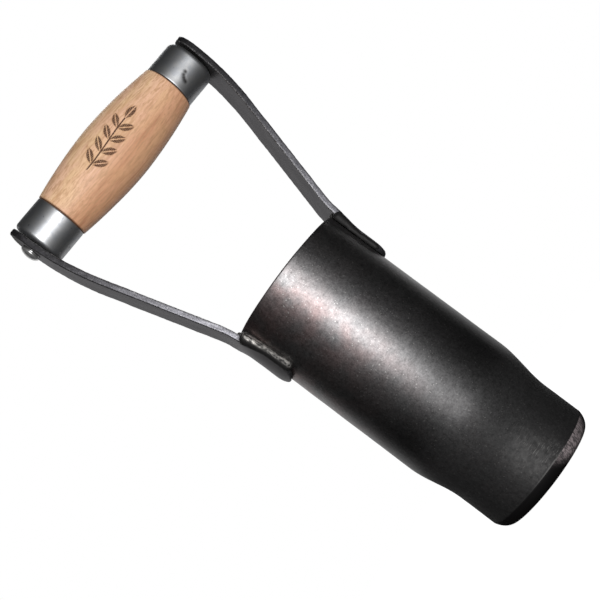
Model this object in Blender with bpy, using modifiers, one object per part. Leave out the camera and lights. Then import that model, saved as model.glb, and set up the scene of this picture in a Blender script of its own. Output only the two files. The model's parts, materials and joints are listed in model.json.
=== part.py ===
# Bulb planter: a steel coring tube with a ground cutting edge, two flat steel arms welded to its
# rim, and a turned wooden grip with steel ferrules on a riveted rod between the arms.
# Metres, +Z up. The cutting edge stands on Z = 0, the tube's axis is the Z axis, and the grip
# lies along X.

import math

import bmesh
import bpy

MM = 0.001

# Fits
CLEARANCE = 0.3 * MM            # gap kept between pieces that touch on the real tool
OVERRUN = 6.0 * MM              # how far a cutter runs past what it cuts
MERGE_DISTANCE = 0.001 * MM     # points closer than this are one point

# Coring tube
TUBE_RADIUS = 35.0 * MM         # outside, above the drawn-in neck
TUBE_HEIGHT = 147.3 * MM        # cutting edge to rim
TUBE_WALL = 3.5 * MM
RIM_CHAMFER = 0.4 * MM
NECK_RADIUS = 31.6 * MM         # outside of the drawn-in mouth end
NECK_WALL = 4.2 * MM            # drawing the tube in thickens its wall
NECK_TOP = 50.4 * MM            # height where the drawing-in starts
NECK_BOTTOM = 23.9 * MM         # height where it ends
GRIND_HEIGHT = 5.7 * MM         # height of the bevel ground on the outside
EDGE_LAND = 0.5 * MM            # flat left at the cutting edge

# Arms: flat bar, rounded at both ends, formed to the tube at the foot
ARM_WIDTH = 25.8 * MM
ARM_THICKNESS = 3.0 * MM
ARM_SPREAD = 116.0 * MM         # between the arms' inner faces at their tops
ARM_LAP = 30.3 * MM             # how far the foot reaches down the tube from its rim
LOW_BEND_RISE = 3.0 * MM        # low bend, above the rim
LOW_BEND_RADIUS = 36.0 * MM
HIGH_BEND_DROP = 16.4 * MM      # high bend, below the grip's axis
HIGH_BEND_RADIUS = 150.0 * MM   # a long easy bend, which ends just above the grip's axis
FOOT_CORNER = 7.0 * MM          # corner radius of the foot's end
TOP_CORNER = 8.0 * MM           # corner radius of the top end
LEFT_TOP_REACH = 11.6 * MM      # end of the left arm above the grip's axis
RIGHT_TOP_REACH = 10.3 * MM     # the right arm is cut a little shorter
SADDLE_START = 14.0 * MM        # the foot hugs the tube from its end up to here
SADDLE_RUN = 18.0 * MM          # length over which it then flattens out
ARM_EDGE_ROUND = 0.6 * MM

# Grip
GRIP_RISE = 99.9 * MM           # grip's axis above the rim
BARREL_LENGTH = 78.8 * MM       # bare wood between the ferrules
BARREL_RADIUS = 17.0 * MM
BARREL_END_RADIUS = 13.3 * MM
BARREL_POWER_SHARE = 1.78       # exponent of the barrel's swell: 2 is a parabola
BARREL_EDGE = 0.5 * MM          # broken edge at the wood's shoulders
FERRULE_RADIUS = 12.9 * MM
FERRULE_WALL = 1.2 * MM
FERRULE_CORNER = 2.2 * MM

# Riveted rod
ROD_RADIUS = 4.0 * MM
HEAD_RADIUS = 5.2 * MM
HEAD_HEIGHT = 2.8 * MM

# Weld beads
SIDE_BEAD_RADIUS = 2.7 * MM
RIM_BEAD_RADIUS = 3.1 * MM
BEAD_PITCH = 4.5 * MM           # length of one ripple
BEAD_RIPPLE_SHARE = 0.12        # how much the bead swells and shrinks
BEAD_END_SHARE = 0.6            # size of a bead at its ends
RIM_BEAD_SPAN_SHARE = 0.85      # share of the arm's width that the rim bead crosses

# Fineness
TUBE_SIDES = 64
GRIP_SIDES = 40
ROD_SIDES = 24
NECK_STEPS = 8
BARREL_STEPS = 16
CORNER_STEPS = 4
ARM_COLUMNS = 6
ARM_ROW_LENGTH = 5.0 * MM
END_ROWS = 5
BEAD_STEPS_PER_RIPPLE = 3

# Sizes that follow
TUBE_BORE = TUBE_RADIUS - TUBE_WALL
NECK_BORE = NECK_RADIUS - NECK_WALL
EDGE_RADIUS = NECK_BORE + EDGE_LAND
GRIP_AXIS = TUBE_HEIGHT + GRIP_RISE
SEAT_RADIUS = TUBE_RADIUS + CLEARANCE
FOOT_END = TUBE_HEIGHT - ARM_LAP
ARM_INNER = ARM_SPREAD / 2
LOW_BEND = TUBE_HEIGHT + LOW_BEND_RISE
HIGH_BEND = GRIP_AXIS - HIGH_BEND_DROP
ARM_LEAN = math.atan2(ARM_INNER - SEAT_RADIUS, HIGH_BEND - LOW_BEND)
LOW_TANGENT = LOW_BEND_RADIUS * math.tan(ARM_LEAN / 2)
HIGH_TANGENT = HIGH_BEND_RADIUS * math.tan(ARM_LEAN / 2)
FACE_RADIUS = FERRULE_RADIUS - FERRULE_CORNER
FACE_DROP = HIGH_TANGENT - HIGH_BEND_DROP + FACE_RADIUS     # of its lower edge, from the bend's end
FACE_LEAN = HIGH_BEND_RADIUS - math.sqrt(HIGH_BEND_RADIUS ** 2 - FACE_DROP ** 2)
FERRULE_END = ARM_INNER - FACE_LEAN - CLEARANCE             # just clear of the leaning arm
FERRULE_MOUTH = BARREL_LENGTH / 2 + CLEARANCE
TENON_END = FERRULE_END - FERRULE_WALL - CLEARANCE
TENON_RADIUS = FERRULE_RADIUS - FERRULE_WALL - CLEARANCE
ROD_HOLE = ROD_RADIUS + CLEARANCE
HEAD_SEAT = ARM_INNER + ARM_THICKNESS + CLEARANCE
FOOT_ANGLE = ARM_WIDTH / 2 / SEAT_RADIUS


def clear_scene():
    for obj in list(bpy.data.objects):
        bpy.data.objects.remove(obj, do_unlink=True)


def make_collection(name):
    collection = bpy.data.collections.new(name)
    bpy.context.scene.collection.children.link(collection)
    return collection


def make_material(name, color, roughness, metallic):
    material = bpy.data.materials.new(name)
    material.use_nodes = True
    shader = material.node_tree.nodes["Principled BSDF"]
    shader.inputs["Base Color"].default_value = (*color, 1.0)
    shader.inputs["Roughness"].default_value = roughness
    shader.inputs["Metallic"].default_value = metallic
    return material


def add_object(name, mesh, collection, material=None):
    obj = bpy.data.objects.new(name, mesh)
    collection.objects.link(obj)
    if material:
        mesh.materials.append(material)
    return obj


def make_cutter(obj):
    obj.hide_render = True
    obj.display_type = "WIRE"
    return obj


def cut(obj, cutter):
    boolean = obj.modifiers.new("cut by " + cutter.name, "BOOLEAN")
    boolean.operation = "DIFFERENCE"
    boolean.solver = "EXACT"
    boolean.object = cutter


def turned(name, profile, sides, collection, material, closed=True):
    """Turn a profile of (radius, height) points, listed down its outer side, round local Z."""
    points = [(radius, 0.0, height) for radius, height in profile]
    edges = [(i, i + 1) for i in range(len(points) - 1)]
    if closed:
        edges.append((len(points) - 1, 0))
    mesh = bpy.data.meshes.new(name)
    mesh.from_pydata(points, edges, [])
    obj = add_object(name, mesh, collection, material)
    screw = obj.modifiers.new("turn", "SCREW")
    screw.axis = "Z"
    screw.angle = math.tau
    screw.steps = sides
    screw.render_steps = sides
    screw.use_merge_vertices = True
    screw.merge_threshold = MERGE_DISTANCE
    screw.use_smooth_shade = True
    return obj


def lay_along_x(obj, side):
    """Turn a piece so that its local Z points to +X (side 1) or -X (side -1), on the grip's axis."""
    obj.rotation_euler = (0.0, side * math.pi / 2, 0.0)
    obj.location = (0.0, 0.0, GRIP_AXIS)


def ease(share):
    """Smooth step from 0 to 1."""
    share = min(max(share, 0.0), 1.0)
    return share * share * (3.0 - 2.0 * share)


def arc(centre_radius, centre_height, radius, start, end, steps):
    """Points of a profile along a round corner, angles measured from the +radius direction."""
    points = []
    for i in range(steps + 1):
        angle = start + (end - start) * i / steps
        points.append((centre_radius + radius * math.cos(angle),
                       centre_height + radius * math.sin(angle)))
    return points


def neck(top_radius, bottom_radius):
    """The drawn-in stretch of the tube, from its top to its bottom."""
    points = []
    for i in range(NECK_STEPS + 1):
        share = i / NECK_STEPS
        height = NECK_TOP + (NECK_BOTTOM - NECK_TOP) * share
        points.append((top_radius + (bottom_radius - top_radius) * ease(share), height))
    return points


def build_tube(collection, material):
    outside = [(TUBE_RADIUS - RIM_CHAMFER, TUBE_HEIGHT), (TUBE_RADIUS, TUBE_HEIGHT - RIM_CHAMFER)]
    outside += neck(TUBE_RADIUS, NECK_RADIUS)
    outside += [(NECK_RADIUS, GRIND_HEIGHT), (EDGE_RADIUS, 0.0)]
    inside = [(NECK_BORE, 0.0)]
    inside += reversed(neck(TUBE_BORE, NECK_BORE))
    inside += [(TUBE_BORE, TUBE_HEIGHT - RIM_CHAMFER), (TUBE_BORE + RIM_CHAMFER, TUBE_HEIGHT)]
    return turned("planter_tube", outside + inside, TUBE_SIDES, collection, material)


def build_grip(collection, material):
    half = BARREL_LENGTH / 2
    swell = BARREL_RADIUS - BARREL_END_RADIUS
    barrel = []
    for i in range(BARREL_STEPS + 1):
        share = math.cos(math.pi * i / BARREL_STEPS)
        radius = BARREL_END_RADIUS + swell * (1.0 - abs(share) ** BARREL_POWER_SHARE)
        barrel.append((radius, (half - BARREL_EDGE) * share))
    shoulder = BARREL_END_RADIUS - BARREL_EDGE
    profile = [(ROD_HOLE, TENON_END), (TENON_RADIUS, TENON_END), (TENON_RADIUS, half), (shoulder, half)]
    profile += barrel
    profile += [(shoulder, -half), (TENON_RADIUS, -half), (TENON_RADIUS, -TENON_END),
                (ROD_HOLE, -TENON_END)]
    grip = turned("wood_grip", profile, GRIP_SIDES, collection, material)
    lay_along_x(grip, 1)
    return grip


def build_ferrule(name, side, collection, material):
    """A drawn steel cup over the grip's tenon, its closed end towards the arm."""
    inside = FERRULE_RADIUS - FERRULE_WALL
    profile = [(ROD_HOLE, FERRULE_END)]
    profile += arc(FERRULE_RADIUS - FERRULE_CORNER, FERRULE_END - FERRULE_CORNER, FERRULE_CORNER,
                   math.pi / 2, 0.0, CORNER_STEPS)
    profile += [(FERRULE_RADIUS, FERRULE_MOUTH), (inside, FERRULE_MOUTH),
                (inside, FERRULE_END - FERRULE_WALL), (ROD_HOLE, FERRULE_END - FERRULE_WALL)]
    ferrule = turned(name, profile, GRIP_SIDES, collection, material)
    lay_along_x(ferrule, side)
    return ferrule


def build_rivet(collection, material):
    """The rod through arms, ferrules and grip, with a domed head outside each arm."""
    dome = (HEAD_RADIUS ** 2 + HEAD_HEIGHT ** 2) / (2.0 * HEAD_HEIGHT)
    low = math.pi / 2 - math.asin(HEAD_RADIUS / dome)
    head = arc(0.0, HEAD_SEAT + HEAD_HEIGHT - dome, dome, math.pi / 2, low, CORNER_STEPS)
    head[0] = (0.0, HEAD_SEAT + HEAD_HEIGHT)
    profile = head + [(ROD_RADIUS, HEAD_SEAT), (ROD_RADIUS, -HEAD_SEAT)]
    profile += [(radius, -height) for radius, height in reversed(head)]
    rivet = turned("grip_rivet", profile, ROD_SIDES, collection, material, closed=False)
    lay_along_x(rivet, 1)
    return rivet


def arm_path(top_reach):
    """The inner face's line from foot to top, as (x, z) at a length along it, and its total length."""
    slope = math.hypot(ARM_INNER - SEAT_RADIUS, HIGH_BEND - LOW_BEND)
    runs = [LOW_BEND - FOOT_END - LOW_TANGENT, LOW_BEND_RADIUS * ARM_LEAN,
            slope - LOW_TANGENT - HIGH_TANGENT, HIGH_BEND_RADIUS * ARM_LEAN,
            GRIP_AXIS + top_reach - HIGH_BEND - HIGH_TANGENT]
    bends = [0.0, LOW_BEND_RADIUS, 0.0, -HIGH_BEND_RADIUS, 0.0]

    def at(length):
        x, z, angle = SEAT_RADIUS, FOOT_END, 0.0
        for i, (run, bend) in enumerate(zip(runs, bends)):
            step = min(length, run) if i < len(runs) - 1 else length
            if bend:
                swing = step / bend
                x += bend * (math.cos(angle) - math.cos(angle + swing))
                z += bend * (math.sin(angle + swing) - math.sin(angle))
                angle += swing
            else:
                x += step * math.sin(angle)
                z += step * math.cos(angle)
            length -= step
            if length <= 0.0:
                break
        return x, z, angle

    return at, sum(runs)


def arm_rows(total):
    """Lengths along the arm at which its cross-sections stand, close together at the round ends."""
    foot_rows = [FOOT_CORNER * (1.0 - math.cos(math.pi / 2 * i / END_ROWS)) for i in range(END_ROWS)]
    top_rows = [total - TOP_CORNER * (1.0 - math.cos(math.pi / 2 * i / END_ROWS))
                for i in reversed(range(END_ROWS))]
    start, end = FOOT_CORNER, total - TOP_CORNER
    count = max(1, round((end - start) / ARM_ROW_LENGTH))
    middle = [start + (end - start) * i / count for i in range(count + 1)]
    return foot_rows + middle + top_rows


def half_width(length, total, grow):
    """Half the arm's width at a length along it: full, and rounded off at both ends."""
    half = ARM_WIDTH / 2
    for corner, distance in ((FOOT_CORNER, length), (TOP_CORNER, total - length)):
        short = max(corner - distance, 0.0)
        half -= corner - math.sqrt(max(corner ** 2 - short ** 2, 0.0))
    return half + grow


def curl_at(length):
    """How tightly the arm is rolled round the tube at a length along it, as one over a radius."""
    return (1.0 - ease((length - SADDLE_START) / SADDLE_RUN)) / SEAT_RADIUS


def rolled(flat, curl):
    """Where a point of the flat bar lands when the bar is rolled: its sag and its place across."""
    if curl == 0.0:
        return 0.0, flat
    turn = flat * curl
    return (1.0 - math.cos(turn)) / curl, math.sin(turn) / curl


def build_arm_sheet(name, side, top_reach, grow, collection, material=None):
    """One arm as a bent sheet with thickness. With grow, it is the same arm, larger all round."""
    at, total = arm_path(top_reach)
    rows = arm_rows(total)
    sheet = bmesh.new()
    bmesh.ops.create_grid(sheet, x_segments=len(rows) - 1, y_segments=ARM_COLUMNS, size=1.0)
    for vertex in sheet.verts:
        row = round((vertex.co.x + 1.0) / 2.0 * (len(rows) - 1))
        across = vertex.co.y
        length = rows[row]
        x, z, angle = at(length)
        if row == 0:
            z -= grow
        if row == len(rows) - 1:
            z += grow
        curl = curl_at(length)
        flat = across * half_width(length, total, grow)
        turn = flat * curl
        sag, width = rolled(flat, curl)
        inward = sag + grow * math.cos(turn)
        x -= inward * math.cos(angle)
        z += inward * math.sin(angle)
        width -= grow * math.sin(turn)
        vertex.co = (side * x, -side * width, z)
    mesh = bpy.data.meshes.new(name)
    sheet.to_mesh(mesh)
    sheet.free()
    mesh.shade_smooth()
    obj = add_object(name, mesh, collection, material)
    wall = obj.modifiers.new("thickness", "SOLIDIFY")
    wall.thickness = ARM_THICKNESS + 2.0 * grow
    wall.offset = 1.0
    wall.use_even_offset = True
    return obj


def build_arm(name, side, top_reach, collection, cutters, material):
    arm = build_arm_sheet(name, side, top_reach, 0.0, collection, material)
    worn = arm.modifiers.new("broken edges", "BEVEL")
    worn.width = ARM_EDGE_ROUND
    worn.segments = 1
    worn.limit_method = "ANGLE"
    worn.angle_limit = math.radians(50.0)
    drill = build_drill(name + "_drill", side, cutters)
    cut(arm, drill)
    return arm


def build_drill(name, side, cutters):
    """Cutter for the rod's hole through one arm."""
    bore = bmesh.new()
    bmesh.ops.create_cone(bore, cap_ends=True, segments=ROD_SIDES, radius1=ROD_HOLE,
                          radius2=ROD_HOLE, depth=ARM_THICKNESS + 2.0 * OVERRUN)
    mesh = bpy.data.meshes.new(name)
    bore.to_mesh(mesh)
    bore.free()
    drill = make_cutter(add_object(name, mesh, cutters))
    drill.rotation_euler = (0.0, side * math.pi / 2, 0.0)
    drill.location = (side * (ARM_INNER + ARM_THICKNESS / 2), 0.0, GRIP_AXIS)
    return drill


def build_tube_cutter(cutters):
    """The tube's outside, larger by the clearance, without its bore."""
    height = TUBE_HEIGHT + CLEARANCE
    plug = bmesh.new()
    bmesh.ops.create_cone(plug, cap_ends=True, segments=TUBE_SIDES, radius1=SEAT_RADIUS,
                          radius2=SEAT_RADIUS, depth=height)
    bmesh.ops.translate(plug, verts=plug.verts, vec=(0.0, 0.0, height / 2))
    mesh = bpy.data.meshes.new("tube_cutter")
    plug.to_mesh(mesh)
    plug.free()
    return make_cutter(add_object("tube_cutter", mesh, cutters))


def build_bead(name, points, radius, collection, cutters, material):
    """A rippled weld bead along a line, cut back to the faces that it joins."""
    curve = bpy.data.curves.new(name, "CURVE")
    curve.dimensions = "3D"
    curve.bevel_depth = radius
    curve.bevel_resolution = 2
    curve.use_fill_caps = True
    spline = curve.splines.new("POLY")
    spline.points.add(len(points) - 1)
    for i, point in enumerate(points):
        ripple = math.sin(math.tau * i / BEAD_STEPS_PER_RIPPLE)
        at_end = i in (0, len(points) - 1)
        spline.points[i].co = (*point, 1.0)
        spline.points[i].radius = BEAD_END_SHARE if at_end else 1.0 + BEAD_RIPPLE_SHARE * ripple
    guide = bpy.data.objects.new(name + "_line", curve)
    collection.objects.link(guide)
    depsgraph = bpy.context.evaluated_depsgraph_get()
    mesh = bpy.data.meshes.new_from_object(guide.evaluated_get(depsgraph))
    bpy.data.objects.remove(guide, do_unlink=True)
    weld = bmesh.new()
    weld.from_mesh(mesh)
    bmesh.ops.remove_doubles(weld, verts=weld.verts, dist=MERGE_DISTANCE)
    bmesh.ops.recalc_face_normals(weld, faces=weld.faces)
    weld.to_mesh(mesh)
    weld.free()
    mesh.name = name
    mesh.shade_smooth()
    bead = add_object(name, mesh, collection, material)
    for cutter in cutters:
        cut(bead, cutter)
    return bead


def line_steps(length):
    return max(2, round(length / BEAD_PITCH * BEAD_STEPS_PER_RIPPLE))


def side_bead_line(side, front):
    """Corner between the tube and one long edge of an arm's foot, from the rim down."""
    low = FOOT_END + FOOT_CORNER
    high = TUBE_HEIGHT - SIDE_BEAD_RADIUS
    steps = line_steps(high - low)
    line = []
    for i in range(steps + 1):
        height = high + (low - high) * i / steps
        sag, width = rolled(ARM_WIDTH / 2, curl_at(height - FOOT_END))
        edge_x = SEAT_RADIUS - sag
        edge_y = width + CLEARANCE
        angle = math.atan2(edge_y, edge_x)
        middle = (SEAT_RADIUS + math.hypot(edge_x, edge_y)) / 2
        line.append((side * middle * math.cos(angle), front * middle * math.sin(angle), height))
    return line


def rim_bead_line(side):
    """Corner between the rim's round top and an arm's flat inner face."""
    span = FOOT_ANGLE * RIM_BEAD_SPAN_SHARE
    steps = line_steps(2.0 * span * TUBE_RADIUS)
    line = []
    for i in range(steps + 1):
        angle = -span + 2.0 * span * i / steps
        middle = (TUBE_RADIUS * math.cos(angle) + SEAT_RADIUS) / 2
        line.append((side * middle, TUBE_RADIUS * math.sin(angle), TUBE_HEIGHT + CLEARANCE))
    return line


def main():
    clear_scene()
    parts = make_collection("bulb_planter")
    cutters = make_collection("cutters")
    tube_steel = make_material("blackened_tube_steel", (0.022, 0.021, 0.021), 0.42, 0.85)
    arm_steel = make_material("forged_arm_steel", (0.075, 0.068, 0.068), 0.5, 0.9)
    weld_steel = make_material("weld_metal", (0.11, 0.10, 0.095), 0.4, 0.95)
    bright_steel = make_material("ferrule_steel", (0.42, 0.43, 0.45), 0.28, 1.0)
    ash = make_material("turned_ash", (0.78, 0.52, 0.29), 0.5, 0.0)

    build_tube(parts, tube_steel)
    tube_cutter = build_tube_cutter(cutters)
    for name, side, reach in (("left", -1, LEFT_TOP_REACH), ("right", 1, RIGHT_TOP_REACH)):
        build_arm(name + "_arm", side, reach, parts, cutters, arm_steel)
        arm_cutter = make_cutter(build_arm_sheet(name + "_arm_cutter", side, reach, CLEARANCE, cutters))
        joined = (tube_cutter, arm_cutter)
        build_bead(name + "_front_weld", side_bead_line(side, -1), SIDE_BEAD_RADIUS, parts, joined,
                   weld_steel)
        build_bead(name + "_rear_weld", side_bead_line(side, 1), SIDE_BEAD_RADIUS, parts, joined,
                   weld_steel)
        build_bead(name + "_rim_weld", rim_bead_line(side), RIM_BEAD_RADIUS, parts, joined, weld_steel)
        build_ferrule(name + "_ferrule", side, parts, bright_steel)
    build_grip(parts, ash)
    build_rivet(parts, bright_steel)


main()
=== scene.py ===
# %% [markdown]
# # Bulb planter
# A hand tool for planting bulbs: a steel tube with a ground edge cuts a core of soil, two flat
# steel arms carry the push of the hands, and a turned ash grip sits between them on a riveted rod.
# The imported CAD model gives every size. Here each piece is modelled again, finer, and gets the
# finish that it has in the photograph.

# %% Load the frame
import json
import math

import bmesh
import bpy
from mathutils import Matrix, Vector, noise


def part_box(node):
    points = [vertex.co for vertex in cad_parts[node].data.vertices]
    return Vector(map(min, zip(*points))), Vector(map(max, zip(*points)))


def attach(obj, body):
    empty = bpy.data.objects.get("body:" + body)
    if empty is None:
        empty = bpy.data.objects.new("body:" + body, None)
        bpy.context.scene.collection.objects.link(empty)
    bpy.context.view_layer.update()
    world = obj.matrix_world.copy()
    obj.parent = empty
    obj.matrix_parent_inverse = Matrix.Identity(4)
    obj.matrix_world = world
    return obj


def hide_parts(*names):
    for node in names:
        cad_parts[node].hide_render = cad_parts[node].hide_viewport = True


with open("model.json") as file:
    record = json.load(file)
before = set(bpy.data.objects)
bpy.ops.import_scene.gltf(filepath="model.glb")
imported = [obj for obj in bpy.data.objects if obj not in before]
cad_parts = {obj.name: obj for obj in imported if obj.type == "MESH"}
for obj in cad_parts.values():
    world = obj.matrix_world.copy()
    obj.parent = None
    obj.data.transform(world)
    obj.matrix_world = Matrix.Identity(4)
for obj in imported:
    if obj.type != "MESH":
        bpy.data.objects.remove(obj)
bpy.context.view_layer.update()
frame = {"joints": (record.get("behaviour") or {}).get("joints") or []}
MM = 0.001

# %% [markdown]
# ## Sizes
# Most sizes are read off the CAD boxes, so the looks can't drift from the frame. What a box
# doesn't say, such as a wall or the height of the neck, is a named value with the same number as
# in the CAD source.

# %% Sizes from the frame
tube_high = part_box("planter_tube")[1]
left_low, left_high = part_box("left_arm")
right_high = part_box("right_arm")[1]
cup_low, cup_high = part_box("right_ferrule")
wood_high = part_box("wood_grip")[1]
rivet_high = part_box("grip_rivet")[1]

TUBE_RADIUS = tube_high.x
RIM = tube_high.z
GRIP_AXIS = frame["joints"][0]["pos_m"][2]
GRIP_CENTRE = Vector((0.0, 0.0, GRIP_AXIS))
BARREL_RADIUS = wood_high.z - GRIP_AXIS
CUP_RADIUS = cup_high.z - GRIP_AXIS
CUP_MOUTH = cup_low.x
CUP_END = cup_high.x
FOOT_END = left_low.z
print("in mm: tube radius", round(TUBE_RADIUS / MM, 2), "rim", round(RIM / MM, 2),
      "grip axis", round(GRIP_AXIS / MM, 2))

# %% Sizes that the boxes don't give
CLEARANCE = 0.3 * MM
TUBE_WALL = 3.5 * MM
NECK_RADIUS = 31.6 * MM
NECK_WALL = 4.2 * MM
NECK_TOP = 50.4 * MM
NECK_BOTTOM = 23.9 * MM
GRIND_HEIGHT = 5.7 * MM
EDGE_LAND = 0.5 * MM
ARM_WIDTH = 25.8 * MM
ARM_THICKNESS = 3.0 * MM
LOW_BEND_RISE = 3.0 * MM
LOW_BEND_RADIUS = 36.0 * MM
HIGH_BEND_DROP = 16.4 * MM
HIGH_BEND_RADIUS = 150.0 * MM
SADDLE_START = 14.0 * MM
SADDLE_RUN = 18.0 * MM
FOOT_CORNER = 7.0 * MM
TOP_CORNER = 8.0 * MM
BARREL_END_RADIUS = 13.3 * MM
BARREL_POWER_SHARE = 1.78
CUP_WALL = 1.2 * MM
CUP_CORNER = 2.2 * MM
ROD_RADIUS = 4.0 * MM
HEAD_RADIUS = 5.2 * MM
HEAD_HEIGHT = 2.8 * MM
MERGE = 0.001 * MM

SEAT_RADIUS = TUBE_RADIUS + CLEARANCE
ARM_INNER = -left_low.x - ARM_THICKNESS
HALF_BARREL = CUP_MOUTH - CLEARANCE
ROD_HOLE = ROD_RADIUS + CLEARANCE
print("arm:", round(ARM_WIDTH / MM, 1), "wide, inner face at", round(ARM_INNER / MM, 1), "mm")

# %% [markdown]
# ## The camera
# The photograph looks up at the tool from below the grip, with the camera turned on its side, so
# that the tool lies from the upper left to the lower right. The place and the three angles come
# from a camera fitted to the outline of the tube, the arms and the grip.

# %% The camera
CAMERA_PLACE = Vector((-101.85, -520.27, 91.27)) * MM
CAMERA_ANGLES = (98.027, 52.884, -4.248)
LENS = 69.457

lens = bpy.data.cameras.new("camera")
lens.lens = LENS
lens.clip_start = 10.0 * MM
camera = bpy.data.objects.new("camera", lens)
camera.location = CAMERA_PLACE
camera.rotation_euler = [math.radians(angle) for angle in CAMERA_ANGLES]
bpy.context.scene.collection.objects.link(camera)
bpy.context.scene.camera = camera
bpy.context.scene.view_settings.view_transform = "Standard"
print("camera", round(CAMERA_PLACE.length / MM), "mm from the cutting edge")

# %% [markdown]
# ## Helpers for shapes
# A turned piece is a profile spun round an axis, as on a lathe. The profile is drawn as a chain
# of points, `(radius, height)`, and long stretches get extra points, so that a hammered or worn
# surface has something to move. Round corners are arcs.

# %% Profiles and spinning
TURN_STEPS = 144


def arc(centre_radius, centre_height, radius, start, end, steps):
    """Points of a round corner, with angles in degrees from the outward direction."""
    points = []
    for i in range(steps + 1):
        angle = math.radians(start + (end - start) * i / steps)
        points.append((centre_radius + radius * math.cos(angle), centre_height + radius * math.sin(angle)))
    return points


def chain(shape, points, spacing, closed=True):
    """Draw a profile in the XZ plane, with extra points where a stretch is longer than the spacing."""
    stops = [Vector((radius, 0.0, height)) for radius, height in points]
    following = stops[1:] + stops[:1] if closed else stops[1:]
    verts = []
    for first, second in zip(stops, following):
        pieces = int((second - first).length / spacing) + 1
        verts += [shape.verts.new(first.lerp(second, i / pieces)) for i in range(pieces)]
    if closed:
        verts.append(verts[0])
    else:
        verts.append(shape.verts.new(stops[-1]))
    for first, second in zip(verts, verts[1:]):
        shape.edges.new((first, second))


def turn(shape, steps=TURN_STEPS):
    """Spin a chain round Z into a closed skin whose faces point outwards."""
    bmesh.ops.spin(shape, geom=shape.verts[:] + shape.edges[:], cent=(0.0, 0.0, 0.0), axis=(0.0, 0.0, 1.0),
                   angle=math.tau, steps=steps, use_merge=True)
    bmesh.ops.remove_doubles(shape, verts=shape.verts, dist=MERGE)
    bmesh.ops.recalc_face_normals(shape, faces=shape.faces)


def lay_on_grip(shape, side=1):
    """Lay a piece turned round Z along the grip, its top towards +X, or -X with side -1."""
    bmesh.ops.rotate(shape, verts=shape.verts, cent=(0.0, 0.0, 0.0),
                     matrix=Matrix.Rotation(side * math.pi / 2, 3, "Y"))
    bmesh.ops.translate(shape, verts=shape.verts, vec=GRIP_CENTRE)


def ease(share):
    """Smooth step from 0 to 1."""
    share = min(max(share, 0.0), 1.0)
    return share * share * (3.0 - 2.0 * share)


print("helpers for profiles ready")

# %% [markdown]
# Real steel and wood are never perfectly even. `roughen` moves each point along its normal by
# smooth noise, a few hundredths of a millimetre on the tube and more on forged edges and welds.
# `finish_piece` turns a bmesh into an object at the origin, hangs it on its CAD body and lets it
# stand for its CAD node.

# %% Uneven surfaces and finished pieces
def roughen(shape, depth, size, seed, share=None):
    """Move points along their normals by noise of a given feature size."""
    shape.normal_update()
    offset = Vector((seed * 1.7, seed * 3.1, seed * 5.3))
    for vert in shape.verts:
        amount = depth if share is None else depth * share(vert.co)
        if amount:
            vert.co += vert.normal * amount * noise.noise(vert.co / size + offset)


def finish_piece(name, shape, materials, body, node, sharp_angle=40.0):
    """Make an object of a shape, smooth up to the sharp angle, and give it its place in the frame."""
    mesh = bpy.data.meshes.new(name)
    shape.to_mesh(mesh)
    shape.free()
    for material in materials:
        mesh.materials.append(material)
    mesh.shade_smooth()
    mesh.set_sharp_from_angle(angle=math.radians(sharp_angle))
    piece = bpy.data.objects.new(name, mesh)
    bpy.context.scene.collection.objects.link(piece)
    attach(piece, body)
    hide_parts(node)
    print(name, len(mesh.polygons), "faces, rides on", body)
    return piece


print("helpers for pieces ready")

# %% [markdown]
# ## Helpers for finishes
# A finish is a small network of shader nodes. `put` adds a node and fills its inputs: a socket
# is linked, anything else is set. Small helpers on top of it give smooth steps, blends and two
# kinds of noise: clouds, and noise that is stretched along an axis, for grain and brushing.

# %% Nodes
def fill(tree, made, inputs):
    """Link the inputs of a node that are sockets and set the others."""
    for name, value in inputs.items():
        if isinstance(value, bpy.types.NodeSocket):
            tree.links.new(value, made.inputs[name])
        else:
            made.inputs[name].default_value = value
    return made


def put(tree, kind, inputs=None, **settings):
    """Add a shader node with its own settings, and fill its inputs."""
    made = tree.nodes.new("ShaderNode" + kind)
    for name, value in settings.items():
        setattr(made, name, value)
    return fill(tree, made, inputs or {})


def math_of(tree, operation, first, second=0.0, third=0.0, clamp=False):
    return put(tree, "Math", {0: first, 1: second, 2: third}, operation=operation, use_clamp=clamp).outputs[0]


def step_between(tree, value, low, high, to_low=0.0, to_high=1.0):
    """A smooth step of a value from low to high."""
    made = put(tree, "MapRange", {"Value": value, "From Min": low, "From Max": high, "To Min": to_low,
                                  "To Max": to_high}, interpolation_type="SMOOTHSTEP")
    return made.outputs["Result"]


def blend_colours(tree, share, first, second, mode="MIX"):
    """The first colour where the share is 0, the second where it is 1."""
    made = put(tree, "Mix", {0: share, 6: first, 7: second}, data_type="RGBA", blend_type=mode)
    return made.outputs[2]


def shade_by(tree, colour, value):
    """A colour made lighter or darker by a value that multiplies it."""
    grey = put(tree, "CombineColor", {0: value, 1: value, 2: value}).outputs[0]
    return blend_colours(tree, 1.0, colour, grey, "MULTIPLY")


def cloud(tree, place, size, detail=2.0, rough=0.5):
    """Smooth noise from 0 to 1 whose features are about the given size."""
    made = put(tree, "TexNoise", {"Vector": place, "Scale": 1.0 / size, "Detail": detail, "Roughness": rough})
    return made.outputs["Fac"]


def stretched(tree, place, scale, detail=2.0, rough=0.5, turned=(0.0, 0.0, 0.0)):
    """Noise from 0 to 1 with its own number of features per metre along X, Y and Z."""
    local = put(tree, "Mapping", {"Vector": place, "Rotation": turned, "Scale": scale}).outputs["Vector"]
    made = put(tree, "TexNoise", {"Vector": local, "Scale": 1.0, "Detail": detail, "Roughness": rough})
    return made.outputs["Fac"]


def bumps(tree, shader, height, strength, distance):
    """Let a height tilt the normals of a finish."""
    made = put(tree, "Bump", {"Height": height, "Strength": strength, "Distance": distance})
    tree.links.new(made.outputs["Normal"], shader.inputs["Normal"])


print("helpers for nodes ready")

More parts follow.
